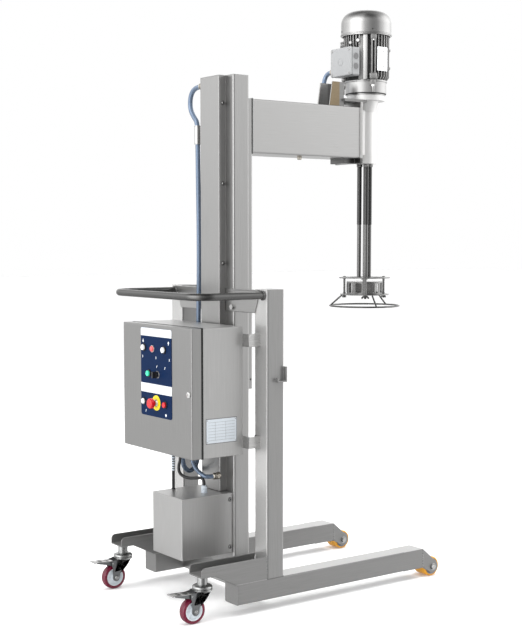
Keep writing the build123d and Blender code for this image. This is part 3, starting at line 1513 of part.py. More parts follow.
build_cross_beam()
for side_name, side_sign in sides:
    build_leg(f"leg_{side_name}", side_sign)
    build_post(f"post_{side_name}", side_sign)
    build_caster(side_name, side_sign)
    build_roller(side_name, side_sign)
build_mast()
build_mast_cover()
build_lower_cover()
build_box_brackets()
build_tie_plates()
build_push_handle()
build_frame_fasteners()
build_actuator()
build_carriage()
build_arm()
build_motor_bracket()
build_bearing_housing()
build_motor()
build_terminal_box()
build_rotor_parts()
build_head_rods()
build_mixing_head()
build_guard_ring()
build_box()
build_door()
build_overlay()
build_collars()
build_button("button_raise", raise_button, button_travel)
build_button("button_lower", lower_button, button_travel)
build_button("button_start", start_button, button_travel)
build_button("button_stop", stop_button, button_travel)
build_lamps()
build_estop()
build_selector()
build_lock()
build_conduits()
build_glands()
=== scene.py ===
"""High shear mixer on its lifting stand: materials, small parts, floor, light and camera.

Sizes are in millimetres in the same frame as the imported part, and turned into metres
when a piece is finished.
"""
from math import cos, pi, radians, sin

import bmesh
import bpy
from mathutils import Matrix, Vector


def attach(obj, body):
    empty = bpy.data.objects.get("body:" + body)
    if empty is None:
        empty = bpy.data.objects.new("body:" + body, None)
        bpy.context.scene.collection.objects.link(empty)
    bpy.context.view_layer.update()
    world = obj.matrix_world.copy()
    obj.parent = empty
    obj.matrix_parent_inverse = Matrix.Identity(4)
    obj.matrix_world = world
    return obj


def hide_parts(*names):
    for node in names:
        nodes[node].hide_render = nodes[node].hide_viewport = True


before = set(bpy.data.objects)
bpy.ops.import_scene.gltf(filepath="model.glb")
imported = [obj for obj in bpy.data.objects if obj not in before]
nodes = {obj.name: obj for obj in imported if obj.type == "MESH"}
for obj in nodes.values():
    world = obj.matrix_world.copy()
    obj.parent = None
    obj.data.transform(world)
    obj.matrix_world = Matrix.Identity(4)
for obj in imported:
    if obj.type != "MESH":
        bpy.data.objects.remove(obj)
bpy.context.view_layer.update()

MM = 0.001
SIDES = (("near", -1), ("far", 1))
MIXER = (524.0, 0.0)
LEG_Y = 301.0
UP = Vector((0, 0, 1))
HOSE_SIDES = 20


# Materials
def graph(name):
    """A new node material with its tree and its Principled shader."""
    material = bpy.data.materials.new(name)
    material.use_nodes = True
    tree = material.node_tree
    return material, tree, tree.nodes["Principled BSDF"]


def place(tree, scale=(1, 1, 1)):
    """Object coordinates, in metres, scaled for each axis."""
    coordinates = tree.nodes.new("ShaderNodeTexCoord")
    mapping = tree.nodes.new("ShaderNodeMapping")
    mapping.inputs["Scale"].default_value = scale
    tree.links.new(coordinates.outputs["Object"], mapping.inputs["Vector"])
    return mapping.outputs["Vector"]


def noise(tree, scale, detail=3.0):
    """Noise with so many waves per metre: one number for all axes, or one for each."""
    waves = scale if isinstance(scale, (list, tuple)) else (scale,) * 3
    texture = tree.nodes.new("ShaderNodeTexNoise")
    texture.inputs["Scale"].default_value = 1.0
    texture.inputs["Detail"].default_value = detail
    tree.links.new(place(tree, waves), texture.inputs["Vector"])
    return texture.outputs["Fac"]


def spread(tree, value, low, high, start=0.3, end=0.7):
    """A value between start and end turned into one between low and high."""
    node = tree.nodes.new("ShaderNodeMapRange")
    node.inputs["From Min"].default_value = start
    node.inputs["From Max"].default_value = end
    node.inputs["To Min"].default_value = low
    node.inputs["To Max"].default_value = high
    tree.links.new(value, node.inputs["Value"])
    return node.outputs["Result"]


def blend_colours(tree, factor, first, second):
    """Mix of two colours; each is a colour or the socket of one."""
    node = tree.nodes.new("ShaderNodeMix")
    node.data_type = "RGBA"
    for value, socket in ((factor, node.inputs[0]), (first, node.inputs[6]), (second, node.inputs[7])):
        if isinstance(value, bpy.types.NodeSocket):
            tree.links.new(value, socket)
        else:
            socket.default_value = value if isinstance(value, float) else (*value, 1.0)
    return node.outputs[2]


def surface(name, dark, light, rough, grain=60, mottle=2.5, metal=0.0, bump=0.0, coat=0.0, edge=0.0):
    """A finish with fine grain in colour, gloss and height, slow mottling and rounded edges."""
    material, tree, shader = graph(name)
    fine = noise(tree, grain)
    slow = noise(tree, mottle, 4.0)
    grained = blend_colours(tree, spread(tree, fine, 0.0, 1.0), dark, light)
    middle = tuple((a + b) / 2 for a, b in zip(dark, light))
    colour = blend_colours(tree, spread(tree, slow, 0.15, 0.75), grained, middle)
    tree.links.new(colour, shader.inputs["Base Color"])
    smudged = tree.nodes.new("ShaderNodeMath")
    smudged.operation = "ADD"
    tree.links.new(spread(tree, fine, rough[0], (rough[0] + rough[1]) / 2), smudged.inputs[0])
    tree.links.new(spread(tree, slow, 0.0, (rough[1] - rough[0]) / 2), smudged.inputs[1])
    tree.links.new(smudged.outputs[0], shader.inputs["Roughness"])
    shader.inputs["Metallic"].default_value = metal
    shader.inputs["Coat Weight"].default_value = coat
    if bump:
        relief = tree.nodes.new("ShaderNodeBump")
        relief.inputs["Strength"].default_value = 0.5
        relief.inputs["Distance"].default_value = bump * MM
        tree.links.new(fine, relief.inputs["Height"])
        tree.links.new(relief.outputs["Normal"], shader.inputs["Normal"])
        if edge:
            rounding = tree.nodes.new("ShaderNodeBevel")
            rounding.samples = 6
            rounding.inputs["Radius"].default_value = edge * MM
            tree.links.new(rounding.outputs["Normal"], relief.inputs["Normal"])
    return material


def grey(level):
    """A neutral colour with the faint warmth of stainless steel."""
    return (level, level * 0.995, level * 0.985)


def satin(name, along, low=0.33, high=0.43, rough=(0.26, 0.38), edge=5.0, metal=1.0):
    """Ground stainless steel with its fine lines running along one axis."""
    grain = [900.0, 900.0, 900.0]
    grain["XYZ".index(along)] = 9.0
    return surface(name, grey(low), grey(high), rough, grain, metal=metal, bump=0.02, edge=edge)


def zone(material, axis, low, high, dark, light):
    """Give part of a finish, between two places along an axis, another colour."""
    tree = material.node_tree
    shader = tree.nodes["Principled BSDF"]
    parts = tree.nodes.new("ShaderNodeSeparateXYZ")
    tree.links.new(place(tree), parts.inputs["Vector"])
    inside = tree.nodes.new("ShaderNodeMath")
    inside.operation = "COMPARE"
    inside.inputs[1].default_value = (low + high) / 2 * MM
    inside.inputs[2].default_value = (high - low) / 2 * MM
    tree.links.new(parts.outputs[axis], inside.inputs[0])
    grained = blend_colours(tree, spread(tree, noise(tree, 400), 0.0, 1.0), dark, light)
    before = shader.inputs["Base Color"].links[0].from_socket
    tree.links.new(blend_colours(tree, inside.outputs[0], before, grained), shader.inputs["Base Color"])


steel_y = satin("satin_steel_crosswise", "Y")
steel_z = satin("satin_steel_upright", "Z")
post_steel = satin("post_steel_upright", "Z", 0.23, 0.30, metal=0.7)
# Painted light: the posts' rear faces, about x = -258 mm, are lighter than the rest of the posts
zone(post_steel, "X", -258.5, -257.5, grey(0.50), grey(0.60))
handle_steel = satin("handle_tube", "Y", 0.11, 0.16, (0.20, 0.30))
leg_steel = satin("leg_steel_lengthwise", "X", 0.20, 0.27, metal=0.7)
# Painted light: the legs' top faces, 128 mm up, are lighter than their sides
zone(leg_steel, "Z", 127.5, 128.5, grey(0.40), grey(0.48))
door_steel = satin("door_steel_upright", "Z", 0.29, 0.37)
mast_steel = satin("mast_cover_upright", "Z", 0.33, 0.41)
bracket_steel = satin("bracket_steel", "X", 0.52, 0.64, (0.22, 0.34))
arm_steel = satin("arm_steel_lengthwise", "X", 0.39, 0.48)
zone(arm_steel, "Z", 1760, 1790.6, grey(0.10), grey(0.15))
cover_z = satin("cover_steel_upright", "Z", 0.37, 0.46, (0.28, 0.42), 3.0, 0.8)
bright = surface("bright_steel", grey(0.42), grey(0.56), (0.14, 0.26), (40, 40, 500), metal=1.0, bump=0.01)
dark_steel = surface("polished_sleeve", grey(0.07), grey(0.10), (0.20, 0.32), (300, 300, 900), metal=1.0,
                     bump=0.01)
head_steel = surface("head_steel", grey(0.20), grey(0.30), (0.22, 0.34), 300, metal=1.0, bump=0.01, edge=0.8)
wire_steel = surface("guard_steel", grey(0.09), grey(0.14), (0.24, 0.36), 300, metal=1.0, bump=0.01)
rod_steel = surface("rod_steel", grey(0.16), grey(0.22), (0.16, 0.28), (400, 400, 60), metal=1.0, bump=0.01)
cast = surface("cast_aluminium", grey(0.38), grey(0.52), (0.30, 0.44), 700, metal=0.9, bump=0.08, edge=1.2)
# Painted shade: a darker copy of the cast aluminium, for one strip of the motor casing that would mirror the
# bright soft box
painted_shade_cast = surface("cast_painted_shade", grey(0.20), grey(0.27), (0.45, 0.58), 700, metal=0.5, bump=0.08, edge=1.2)
# Painted shade: near-black for the shade between the motor fins, in the lug grooves, in the pedal slots and
# in a joint ring of the end shield
painted_shade_black = surface("painted_shade_recess", grey(0.010), grey(0.022), (0.5, 0.7), 500, bump=0.1)
pressed = surface("pressed_cover", grey(0.36), grey(0.45), (0.24, 0.34), 500, metal=1.0, bump=0.02)
machined = surface("blasted_casting", grey(0.64), grey(0.76), (0.42, 0.56), 900, metal=0.7, bump=0.05,
                   edge=1.5)
zinc = surface("zinc_plate", (0.34, 0.345, 0.345), (0.42, 0.425, 0.42), (0.22, 0.32), 300, 9, 1.0, 0.01,
               edge=1.0)
dull_zinc = surface("dull_zinc", (0.17, 0.175, 0.18), (0.23, 0.235, 0.24), (0.34, 0.46), 300, 9, 1.0, 0.01,
                    edge=0.8)
bronze = surface("bracket_bronze", grey(0.30), grey(0.40), (0.34, 0.46), (15, 700, 300), metal=0.8,
                 bump=0.03, edge=1.5)
zone(bronze, "Y", -42.5, -41.4, (0.20, 0.155, 0.095), (0.25, 0.20, 0.13))
zone(bronze, "Y", 41.4, 42.5, (0.20, 0.155, 0.095), (0.25, 0.20, 0.13))
zone(bronze, "X", 342, 560, grey(0.20), grey(0.27))
nickel = surface("nickel_brass", (0.50, 0.46, 0.40), (0.66, 0.62, 0.55), (0.14, 0.26), 500, metal=1.0,
                 bump=0.01)
chrome = surface("chrome_trim", grey(0.70), grey(0.80), (0.06, 0.14), 200, metal=1.0)
lid_grey = surface("terminal_box_paint", (0.30, 0.305, 0.31), (0.36, 0.365, 0.37), (0.40, 0.52), 500,
                   metal=0.35, bump=0.05, edge=1.5)
knockout_grey = surface("knockout_plug", (0.11, 0.11, 0.112), (0.16, 0.16, 0.162), (0.5, 0.6), 600, bump=0.04)
device_grey = surface("device_housing", (0.42, 0.44, 0.46), (0.50, 0.52, 0.54), (0.45, 0.6), 900, bump=0.05)
print_white = surface("plate_white", (0.78, 0.79, 0.80), (0.86, 0.87, 0.88), (0.45, 0.55), 300, bump=0.01)
plate_pale = surface("rating_plate", (0.40, 0.435, 0.47), (0.50, 0.535, 0.57), (0.42, 0.55), 250, bump=0.01)
mark_white = surface("printed_white", (0.72, 0.76, 0.80), (0.84, 0.87, 0.90), (0.4, 0.5), 900)
blue_hose = surface("conduit_blue", (0.125, 0.17, 0.245), (0.165, 0.215, 0.295), (0.20, 0.30), 400,
                    metal=0.4, bump=0.05)
black_rubber = surface("cable_black", (0.010, 0.010, 0.011), (0.024, 0.024, 0.026), (0.38, 0.55), 700,
                       bump=0.05)
seal_black = surface("seal_foam", (0.006, 0.006, 0.006), (0.014, 0.014, 0.014), (0.7, 0.9), 900, bump=0.2)
black_plastic = surface("control_black", (0.008, 0.008, 0.009), (0.018, 0.018, 0.02), (0.22, 0.36), 700,
                        bump=0.03)
pale_plastic = surface("gland_pale", (0.56, 0.62, 0.68), (0.66, 0.72, 0.78), (0.3, 0.42), 500, bump=0.04)
hub_plastic = surface("wheel_hub", (0.56, 0.61, 0.65), (0.66, 0.70, 0.73), (0.32, 0.45), 300, bump=0.06)
burgundy = surface("caster_tyre", (0.10, 0.002, 0.016), (0.145, 0.004, 0.026), (0.20, 0.30), 260, bump=0.04)
yellow_tyre = surface("roller_tyre", (0.56, 0.24, 0.008), (0.78, 0.37, 0.012), (0.30, 0.45), 200, bump=0.08)
roller_hub = surface("roller_hub", (0.12, 0.16, 0.24), (0.18, 0.23, 0.32), (0.32, 0.45), 300, bump=0.05)
pad_white = surface("slide_pad", (0.62, 0.61, 0.57), (0.74, 0.73, 0.69), (0.4, 0.5), (200, 200, 40),
                    bump=0.04)
cap_white = surface("cap_white", (0.74, 0.76, 0.78), (0.84, 0.85, 0.86), (0.20, 0.32), 300, bump=0.02,
                    coat=0.3)
cap_green = surface("cap_green", (0.02, 0.62, 0.34), (0.06, 0.78, 0.46), (0.18, 0.30), 300, bump=0.02,
                    coat=0.3)
cap_red = surface("cap_red", (0.50, 0.005, 0.010), (0.62, 0.010, 0.016), (0.20, 0.32), 300, bump=0.02,
                  coat=0.3)
lens_red = surface("lens_red", (0.64, 0.05, 0.06), (0.80, 0.13, 0.13), (0.10, 0.20), 900, bump=0.10, coat=0.5)
sign_yellow = surface("disc_yellow", (0.80, 0.62, 0.0), (0.90, 0.74, 0.01), (0.28, 0.38), 300, bump=0.02)


PALE_BANDS = ((0.843, 0.879), (1.067, 1.0985))


def overlay_finish():
    """Blue printed film with pale bands across it, between heights in metres."""
    material, tree, shader = graph("overlay_film")
    heights = tree.nodes.new("ShaderNodeSeparateXYZ")
    tree.links.new(place(tree), heights.inputs["Vector"])
    pale = None
    for low, high in PALE_BANDS:
        band = tree.nodes.new("ShaderNodeMath")
        band.operation = "COMPARE"
        band.inputs[1].default_value = (low + high) / 2
        band.inputs[2].default_value = (high - low) / 2
        tree.links.new(heights.outputs["Z"], band.inputs[0])
        if pale is None:
            pale = band.outputs[0]
        else:
            both = tree.nodes.new("ShaderNodeMath")
            both.operation = "ADD"
            both.use_clamp = True
            tree.links.new(pale, both.inputs[0])
            tree.links.new(band.outputs[0], both.inputs[1])
            pale = both.outputs[0]
    weave = noise(tree, 1400)
    blue = blend_colours(tree, spread(tree, weave, 0.0, 1.0), (0.0025, 0.013, 0.050), (0.004, 0.018, 0.064))
    white = blend_colours(tree, spread(tree, weave, 0.0, 1.0), (0.64, 0.67, 0.70), (0.72, 0.75, 0.78))
    tree.links.new(blend_colours(tree, pale, blue, white), shader.inputs["Base Color"])
    tree.links.new(spread(tree, weave, 0.42, 0.52), shader.inputs["Roughness"])
    shader.inputs["Specular IOR Level"].default_value = 0.06
    relief = tree.nodes.new("ShaderNodeBump")
    relief.inputs["Strength"].default_value = 0.3
    relief.inputs["Distance"].default_value = 0.03 * MM
    tree.links.new(weave, relief.inputs["Height"])
    tree.links.new(relief.outputs["Normal"], shader.inputs["Normal"])
    return material


finishes = {
    leg_steel: ["leg_near", "leg_far"],
    handle_steel: ["push_handle"],
    bracket_steel: ["box_brackets"],
    post_steel: ["post_near", "post_far"],
    arm_steel: ["arm"],
    steel_y: ["cross_beam", "tie_plates"],
    steel_z: ["mast_profile", "carriage_channel"],
    cover_z: ["lower_cover", "box_body"],
    door_steel: ["door_panel"],
    mast_steel: ["mast_cover"],
    rod_steel: ["head_rods"],
    head_steel: ["head_top_plate", "head_bottom_plate", "stator", "drive_shaft"],
    wire_steel: ["guard_ring"],
    bright: ["rotor", "actuator_rod", "frame_fasteners"],
    cast: ["end_shield", "motor_body", "actuator_tube", "lift_gearmotor"],
    machined: ["bearing_housing"],
    pressed: ["fan_cover"],
    bronze: ["motor_bracket"],
    seal_black: ["door_seal"],
    pad_white: ["guide_pads"],
    black_plastic: ["cooling_fan", "selector"],
    lid_grey: ["terminal_box"],
    device_grey: ["drive_electronics"],
    chrome: ["door_lock"],
    cap_white: ["button_raise", "button_lower"],
    cap_green: ["button_start"],
    cap_red: ["button_stop", "estop"],
    nickel: ["arm_glands", "cable_glands"],
    overlay_finish(): ["control_overlay"],
}
for material, names in finishes.items():
    for name in names:
        nodes[name].data.materials.clear()
        nodes[name].data.materials.append(material)


# Mesh helpers; every one adds to a bmesh in millimetres
def tag(bm, kept, slot_index):
    """Give a material number to the faces that were not there before."""
    for face in bm.faces:
        if face not in kept:
            face.material_index = slot_index


def add_lathe(bm, origin, direction, profile, steps=36, slot_index=0, wrap=False):
    """Turn (radius, height) points about an axis; a radius of 0 closes the end."""
    kept = set(bm.faces)
    turn_to = UP.rotation_difference(Vector(direction)).to_matrix()
    rings = []
    for radius, height in profile:
        count = steps if radius else 1
        ring = []
        for index in range(count):
            angle = 2 * pi * index / steps
            local = Vector((radius * cos(angle), radius * sin(angle), height))
            ring.append(bm.verts.new(turn_to @ local + Vector(origin)))
        rings.append(ring)
    pairs = list(zip(rings, rings[1:]))
    if wrap:
        pairs.append((rings[-1], rings[0]))
    for lower, upper in pairs:
        for index in range(steps):
            after = (index + 1) % steps
            if len(lower) == 1:
                bm.faces.new((lower[0], upper[after], upper[index]))
            elif len(upper) == 1:
                bm.faces.new((lower[index], lower[after], upper[0]))
            else:
                bm.faces.new((lower[index], lower[after], upper[after], upper[index]))
    tag(bm, kept, slot_index)


def add_box(bm, centre, size, bevel=0.0, slot_index=0, turn=None):
    """A box with rounded edges, turned about its own centre."""
    kept = set(bm.faces)
    turned = turn.to_4x4() if turn else Matrix.Identity(4)
    matrix = Matrix.Translation(centre) @ turned @ Matrix.Diagonal((*size, 1.0))
    made = bmesh.ops.create_cube(bm, size=1.0, matrix=matrix)
    if bevel:
        edges = {edge for vert in made["verts"] for edge in vert.link_edges}
        bmesh.ops.bevel(bm, geom=list(edges), offset=bevel, segments=2, affect="EDGES", profile=0.5)
    tag(bm, kept, slot_index)


def add_prism(bm, outline, depth, slot_index=0):
    """Extrude a flat outline of 3-D points along a vector."""
    kept = set(bm.faces)
    lower = [bm.verts.new(point) for point in outline]
    upper = [bm.verts.new(Vector(point) + Vector(depth)) for point in outline]
    bm.faces.new(lower[::-1])
    bm.faces.new(upper)
    for index in range(len(outline)):
        after = (index + 1) % len(outline)
        bm.faces.new((lower[index], lower[after], upper[after], upper[index]))
    tag(bm, kept, slot_index)


def add_tube(bm, points, radii, sides=12, slot_index=0, closed=False):
    """A round bar along points, with one radius for all or one for each."""
    kept = set(bm.faces)
    path = [Vector(point) for point in points]
    if not isinstance(radii, (list, tuple)):
        radii = [radii] * len(path)
    count = len(path)
    across = None
    rings = []
    for index, point in enumerate(path):
        ahead = path[(index + 1) % count] if closed or index < count - 1 else point
        behind = path[index - 1] if closed or index else point
        along = (ahead - behind).normalized()
        if across is None:
            across = along.orthogonal().normalized()
        across = (across - along * across.dot(along)).normalized()
        other = along.cross(across)
        ring = []
        for side in range(sides):
            angle = 2 * pi * side / sides
            ring.append(bm.verts.new(point + (across * cos(angle) + other * sin(angle)) * radii[index]))
        rings.append(ring)
    for index in range(count if closed else count - 1):
        lower, upper = rings[index], rings[(index + 1) % count]
        for side in range(sides):
            after = (side + 1) % sides
            bm.faces.new((lower[side], lower[after], upper[after], upper[side]))
    if not closed:
        bm.faces.new(rings[0][::-1])
        bm.faces.new(rings[-1])
    tag(bm, kept, slot_index)


def finish_piece(bm, name, body, materials, stands_for=(), sharp=35):
    """Turn a bmesh into an object in metres that rides on a body."""
    bmesh.ops.recalc_face_normals(bm, faces=bm.faces)
    bmesh.ops.scale(bm, vec=(MM, MM, MM), verts=bm.verts)
    mesh = bpy.data.meshes.new(name)
    bm.to_mesh(mesh)
    bm.free()
    mesh.shade_smooth()
    mesh.set_sharp_from_angle(angle=radians(sharp))
    for material in materials:
        mesh.materials.append(material)
    piece = bpy.data.objects.new(name, mesh)
    bpy.context.scene.collection.objects.link(piece)
    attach(piece, body)
    if stands_for:
        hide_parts(*stands_for)


def smooth_line(route):
    """Points of the NURBS line with the route's points as its control points."""
    curve = bpy.data.curves.new("route", "CURVE")
    curve.dimensions = "3D"
    curve.resolution_u = 24
    spline = curve.splines.new("NURBS")
    spline.points.add(len(route) - 1)
    for point, at in zip(spline.points, route):
        point.co = (*at, 1.0)
    spline.order_u = 3
    spline.use_endpoint_u = True
    holder = bpy.data.objects.new("route", curve)
    line = bpy.data.meshes.new_from_object(holder)
    points = [vert.co.copy() for vert in line.vertices]
    bpy.data.objects.remove(holder)
    bpy.data.curves.remove(curve)
    bpy.data.meshes.remove(line)
    return points


def even_steps(points, step):
    """Points at even distances along a line of points."""
    found = [points[0]]
    left = step
    for before, after in zip(points, points[1:]):
        run = (after - before).length
        while left <= run:
            found.append(before.lerp(after, left / run))
            left += step
        left -= run
    if (points[-1] - found[-1]).length > step / 4:
        found.append(points[-1])
    return found


def add_hose(bm, route, radius, step, rib=0.0):
    """A hose along a route; rib is the depth of its rings, one in two steps."""
    line = even_steps(smooth_line(route), step)
    radii = [radius - (rib if index % 2 else 0.0) for index in range(len(line))]
    add_tube(bm, line, radii, HOSE_SIDES)


def add_gland(bm, seat, direction, radius, length, slot_index=0):
    """A cable gland: flange, hexagon, nut and rounded end."""
    flange = [(0, 0), (radius * 1.12, 0), (radius * 1.12, length * 0.12), (0, length * 0.12)]
    hexagon = [(0, length * 0.1), (radius * 1.15, length * 0.13), (radius * 1.15, length * 0.42),
               (0, length * 0.45)]
    nut = [(0, length * 0.4), (radius * 0.86, length * 0.42), (radius * 0.86, length * 0.52),
           (radius * 1.05, length * 0.55), (radius * 1.05, length * 0.84), (radius * 0.9, length * 0.95),
           (radius * 0.7, length), (0, length)]
    add_lathe(bm, seat, direction, flange, slot_index=slot_index)
    add_lathe(bm, seat, direction, hexagon, steps=6, slot_index=slot_index)
    add_lathe(bm, seat, direction, nut, steps=24, slot_index=slot_index)


# Casters and front rollers
WHEEL_X = -578.0
WHEEL_R = 50.0
STEM_X = -532.0
PEDAL_PIN_X = -594.0
PEDAL_PIN_Z = 111.0
ROLLER_X = 627.0
ROLLER_R = 42.0


def build_caster(name, centre_y):
    wheel = f"wheel_{name}"
    axle = (WHEEL_X, centre_y, WHEEL_R)
    tyre = [(37, -14.5), (44, -16), (47.6, -14.6), (49.5, -11.5), (50, -7), (50, 7), (49.5, 11.5),
            (47.6, 14.6), (44, 16), (37, 14.5)]
    bm = bmesh.new()
    add_lathe(bm, axle, (0, 1, 0), tyre, 72, wrap=True)
    finish_piece(bm, f"caster_tyre_{name}", wheel, [burgundy], [f"caster_wheel_{name}"])
    hub = [(6.4, -18.5), (13.5, -18.5), (15, -17.5), (16.5, -9.5), (30, -8), (32.5, -13), (34, -14.2),
           (37.4, -14.2), (37.4, 14.2), (34, 14.2), (32.5, 13), (30, 8), (16.5, 9.5), (15, 17.5),
           (13.5, 18.5), (6.4, 18.5)]
    bm = bmesh.new()
    add_lathe(bm, axle, (0, 1, 0), hub, 60, wrap=True)
    for index in range(6):
        angle = radians(60 * index)
        middle = Vector((cos(angle), 0, sin(angle))) * 23 + Vector(axle)
        add_box(bm, middle, (15, 24, 2.4), 0.6, turn=Matrix.Rotation(-angle, 3, "Y"))
    finish_piece(bm, f"caster_hub_{name}", wheel, [hub_plastic], [f"caster_wheel_{name}"])

    bm = bmesh.new()
    head = [(0, 143.7), (18.5, 143.7), (31, 143.2), (37, 140), (39, 136.5), (39, 133), (34.5, 131.5),
            (34.5, 129.5), (38.5, 128), (38.5, 123), (36, 120), (33, 118.5), (0, 118.5)]
    add_lathe(bm, (STEM_X, centre_y, 0), (0, 0, 1), head, 60)
    levels, steps = 14, 10
    for side in (-1, 1):
        grid = []
        for level in range(levels + 1):
            down = level / levels
            front_x = -494 - 70 * down ** 1.15
            rear_x = -566 - 26 * down
            half = 36 - 11.4 * down ** 0.7
            curl = 36 * (1 - down) ** 2.2
            z = 123 - 61 * down
            row = []
            for step in range(steps + 1):
                sweep = step / steps * pi / 2
                x = rear_x + (front_x - rear_x) * sin(sweep)
                y = half - curl * (1 - cos(sweep))
                row.append(bm.verts.new((x, centre_y + side * y, z)))
            grid.append(row)
        sheet = []
        for upper, lower in zip(grid, grid[1:]):
            for step in range(steps):
                sheet.append(bm.faces.new((upper[step], upper[step + 1], lower[step + 1], lower[step])))
        bmesh.ops.solidify(bm, geom=sheet, thickness=2.6 * side)
        add_lathe(bm, (WHEEL_X, centre_y + side * 21.4, WHEEL_R), (0, side, 0),
                  [(0, 0), (15, 0), (15, 2.8), (11, 3.2), (0, 3.2)], 40)
        cheek = [(-552, 126), (-600, 119), (-599, 104), (-593, 88), (-593.5, 48)]
        cheek += [(WHEEL_X + 15.5 * cos(radians(turn)), WHEEL_R + 15.5 * sin(radians(turn)))
                  for turn in range(190, 355, 15)]
        cheek += [(-561, 62), (-549, 96)]
        add_prism(bm, [(x, centre_y + side * 23.6, z) for x, z in cheek], (0, side * 2.8, 0), 1)
        add_lathe(bm, (WHEEL_X, centre_y + side * 26.2, WHEEL_R), (0, side, 0),
                  [(0, 0), (9.5, 0), (9.5, 4), (8, 5.4), (0, 5.4)], 6)
        add_lathe(bm, (WHEEL_X, centre_y + side * 31, WHEEL_R), (0, side, 0),
                  [(0, 0), (5, 0), (5, 1.6), (4, 2.4), (0, 2.4)], 20)
    add_tube(bm, [(PEDAL_PIN_X, centre_y + end, PEDAL_PIN_Z) for end in (-27, 27)], 4, 20)
    finish_piece(bm, f"caster_frame_{name}", f"swivel_{name}", [zinc, dull_zinc],
                 [f"caster_fork_{name}"])

    bm = bmesh.new()
    slope = Vector((-84, 0, 4)).normalized()
    start = Vector((-592, centre_y, 119.5))
    tilt = Matrix.Rotation(Vector((-1, 0, 0)).angle(slope), 3, "Y")
    add_box(bm, start + slope * 40, (84, 42, 2.6), 0.8, turn=tilt)
    # The pedal's slots are flat near-black boxes: painted shade in the openings
    for along, length in ((20, 13), (52, 16)):
        for offset_y in (-9.6, 9.6):
            add_box(bm, start + slope * along + Vector((0, offset_y, 0.2)), (length, 14, 2.8), 0.4, 2, tilt)
    for along in (36, 78):
        add_box(bm, start + slope * along + Vector((0, 0, 0.8)), (5, 42, 2.8), 0.9, turn=tilt)
    for side in (-1, 1):
        skirt_y = centre_y + side * 19.4
        skirt = [(-586.6, 119), (-668, 122.5), (-664, 118), (-622, 108), (-598, 102), (-588, 106)]
        add_prism(bm, [(x, skirt_y, z) for x, z in skirt], (0, side * 1.4, 0), 1)
    add_tube(bm, [(-675, centre_y - 20, 123), (-675, centre_y + 20, 123)], 2.6, 12)
    finish_piece(bm, f"brake_lever_{name}", f"pedal_{name}", [bright, dull_zinc, painted_shade_black],
                 [f"brake_pedal_{name}"])

    bm = bmesh.new()
    roller = (ROLLER_X, centre_y, ROLLER_R)
    tread = [(33.5, -35), (37, -36), (40, -34), (42, -29), (42, 29), (40, 34), (37, 36), (33.5, 35)]
    add_lathe(bm, roller, (0, 1, 0), tread, 72, wrap=True)
    finish_piece(bm, f"roller_tyre_{name}", f"roller_{name}", [yellow_tyre],
                 [f"front_roller_{name}"])
    bm = bmesh.new()
    core = [(7.2, -36), (14, -36), (15, -34.5), (31, -33.5), (33.8, -35), (33.8, 35), (31, 33.5),
            (15, 34.5), (14, 36), (7.2, 36)]
    add_lathe(bm, roller, (0, 1, 0), core, 60, wrap=True)
    finish_piece(bm, f"roller_core_{name}", f"roller_{name}", [roller_hub],
                 [f"front_roller_{name}"])


for side_name, sign in SIDES:
    build_caster(side_name, sign * LEG_Y)


# Conduits and cables, with the routes of the part
CONDUIT_R = 10
MAST_CONDUIT_R = 9
CABLE_R = 6.2
CABLE_STEP = 6
RIB_STEP = 2.5
RIB_DEPTH = 0.35
BOX_UNDERSIDE = 612
LOWER_COVER_TOP = 432
LIFT_CABLE_AT = (-410, 96)
RISER = [
    (-275, 88, 2059), (-275, 128, 2059), (-275, 163, 2030), (-275, 166, 1976),
    (-274, 138, 1940), (-274, 112, 1918), (-274, 112, 1800), (-274, 103, 1363),
    (-274, 114, 1110), (-275, 113, 640), (-278, 110, 560), (-296, 104, 512),
    (-330, 96, 494), (-362, 90, 516), (-372, 88, 560), (-372, 88, 594),
]
MAST_CONDUIT = [
    (-362, 32, 594), (-362, 32, 558), (-362, 2, 522), (-357, -44, 502), (-349, -60, 498), (-322, -60, 498),
]
LIFT_CABLE = [(-410, 96, 512), (-410, 96, 474), (-410, 96, 436)]
SENSOR_CABLE = [
    (-407, 46, 594), (-407, 46, 560), (-406, 64, 528), (-399, 66, 496),
    (-382, 34, 482), (-364, -8, 488), (-351, -42, 492), (-351, -42, 462),
]
MOTOR_CONDUIT = [
    (405, 90, 2166), (405, 116, 2166), (398, 132, 2136), (380, 112, 2090), (346, 64, 2050), (346, 64, 2016),
]
bm = bmesh.new()
add_hose(bm, RISER, CONDUIT_R, RIB_STEP, RIB_DEPTH)
add_hose(bm, MAST_CONDUIT, MAST_CONDUIT_R, RIB_STEP, RIB_DEPTH)
finish_piece(bm, "blue_conduits", "chassis", [blue_hose], ["frame_conduits"], sharp=60)
bm = bmesh.new()
add_hose(bm, LIFT_CABLE, CABLE_R, CABLE_STEP)
add_hose(bm, SENSOR_CABLE, CABLE_R, CABLE_STEP)
finish_piece(bm, "black_cables", "chassis", [black_rubber], ["lift_cables"], sharp=60)
bm = bmesh.new()
add_hose(bm, MOTOR_CONDUIT, CONDUIT_R, RIB_STEP, RIB_DEPTH)
finish_piece(bm, "drive_conduit", "carriage", [blue_hose], ["motor_conduit"], sharp=60)

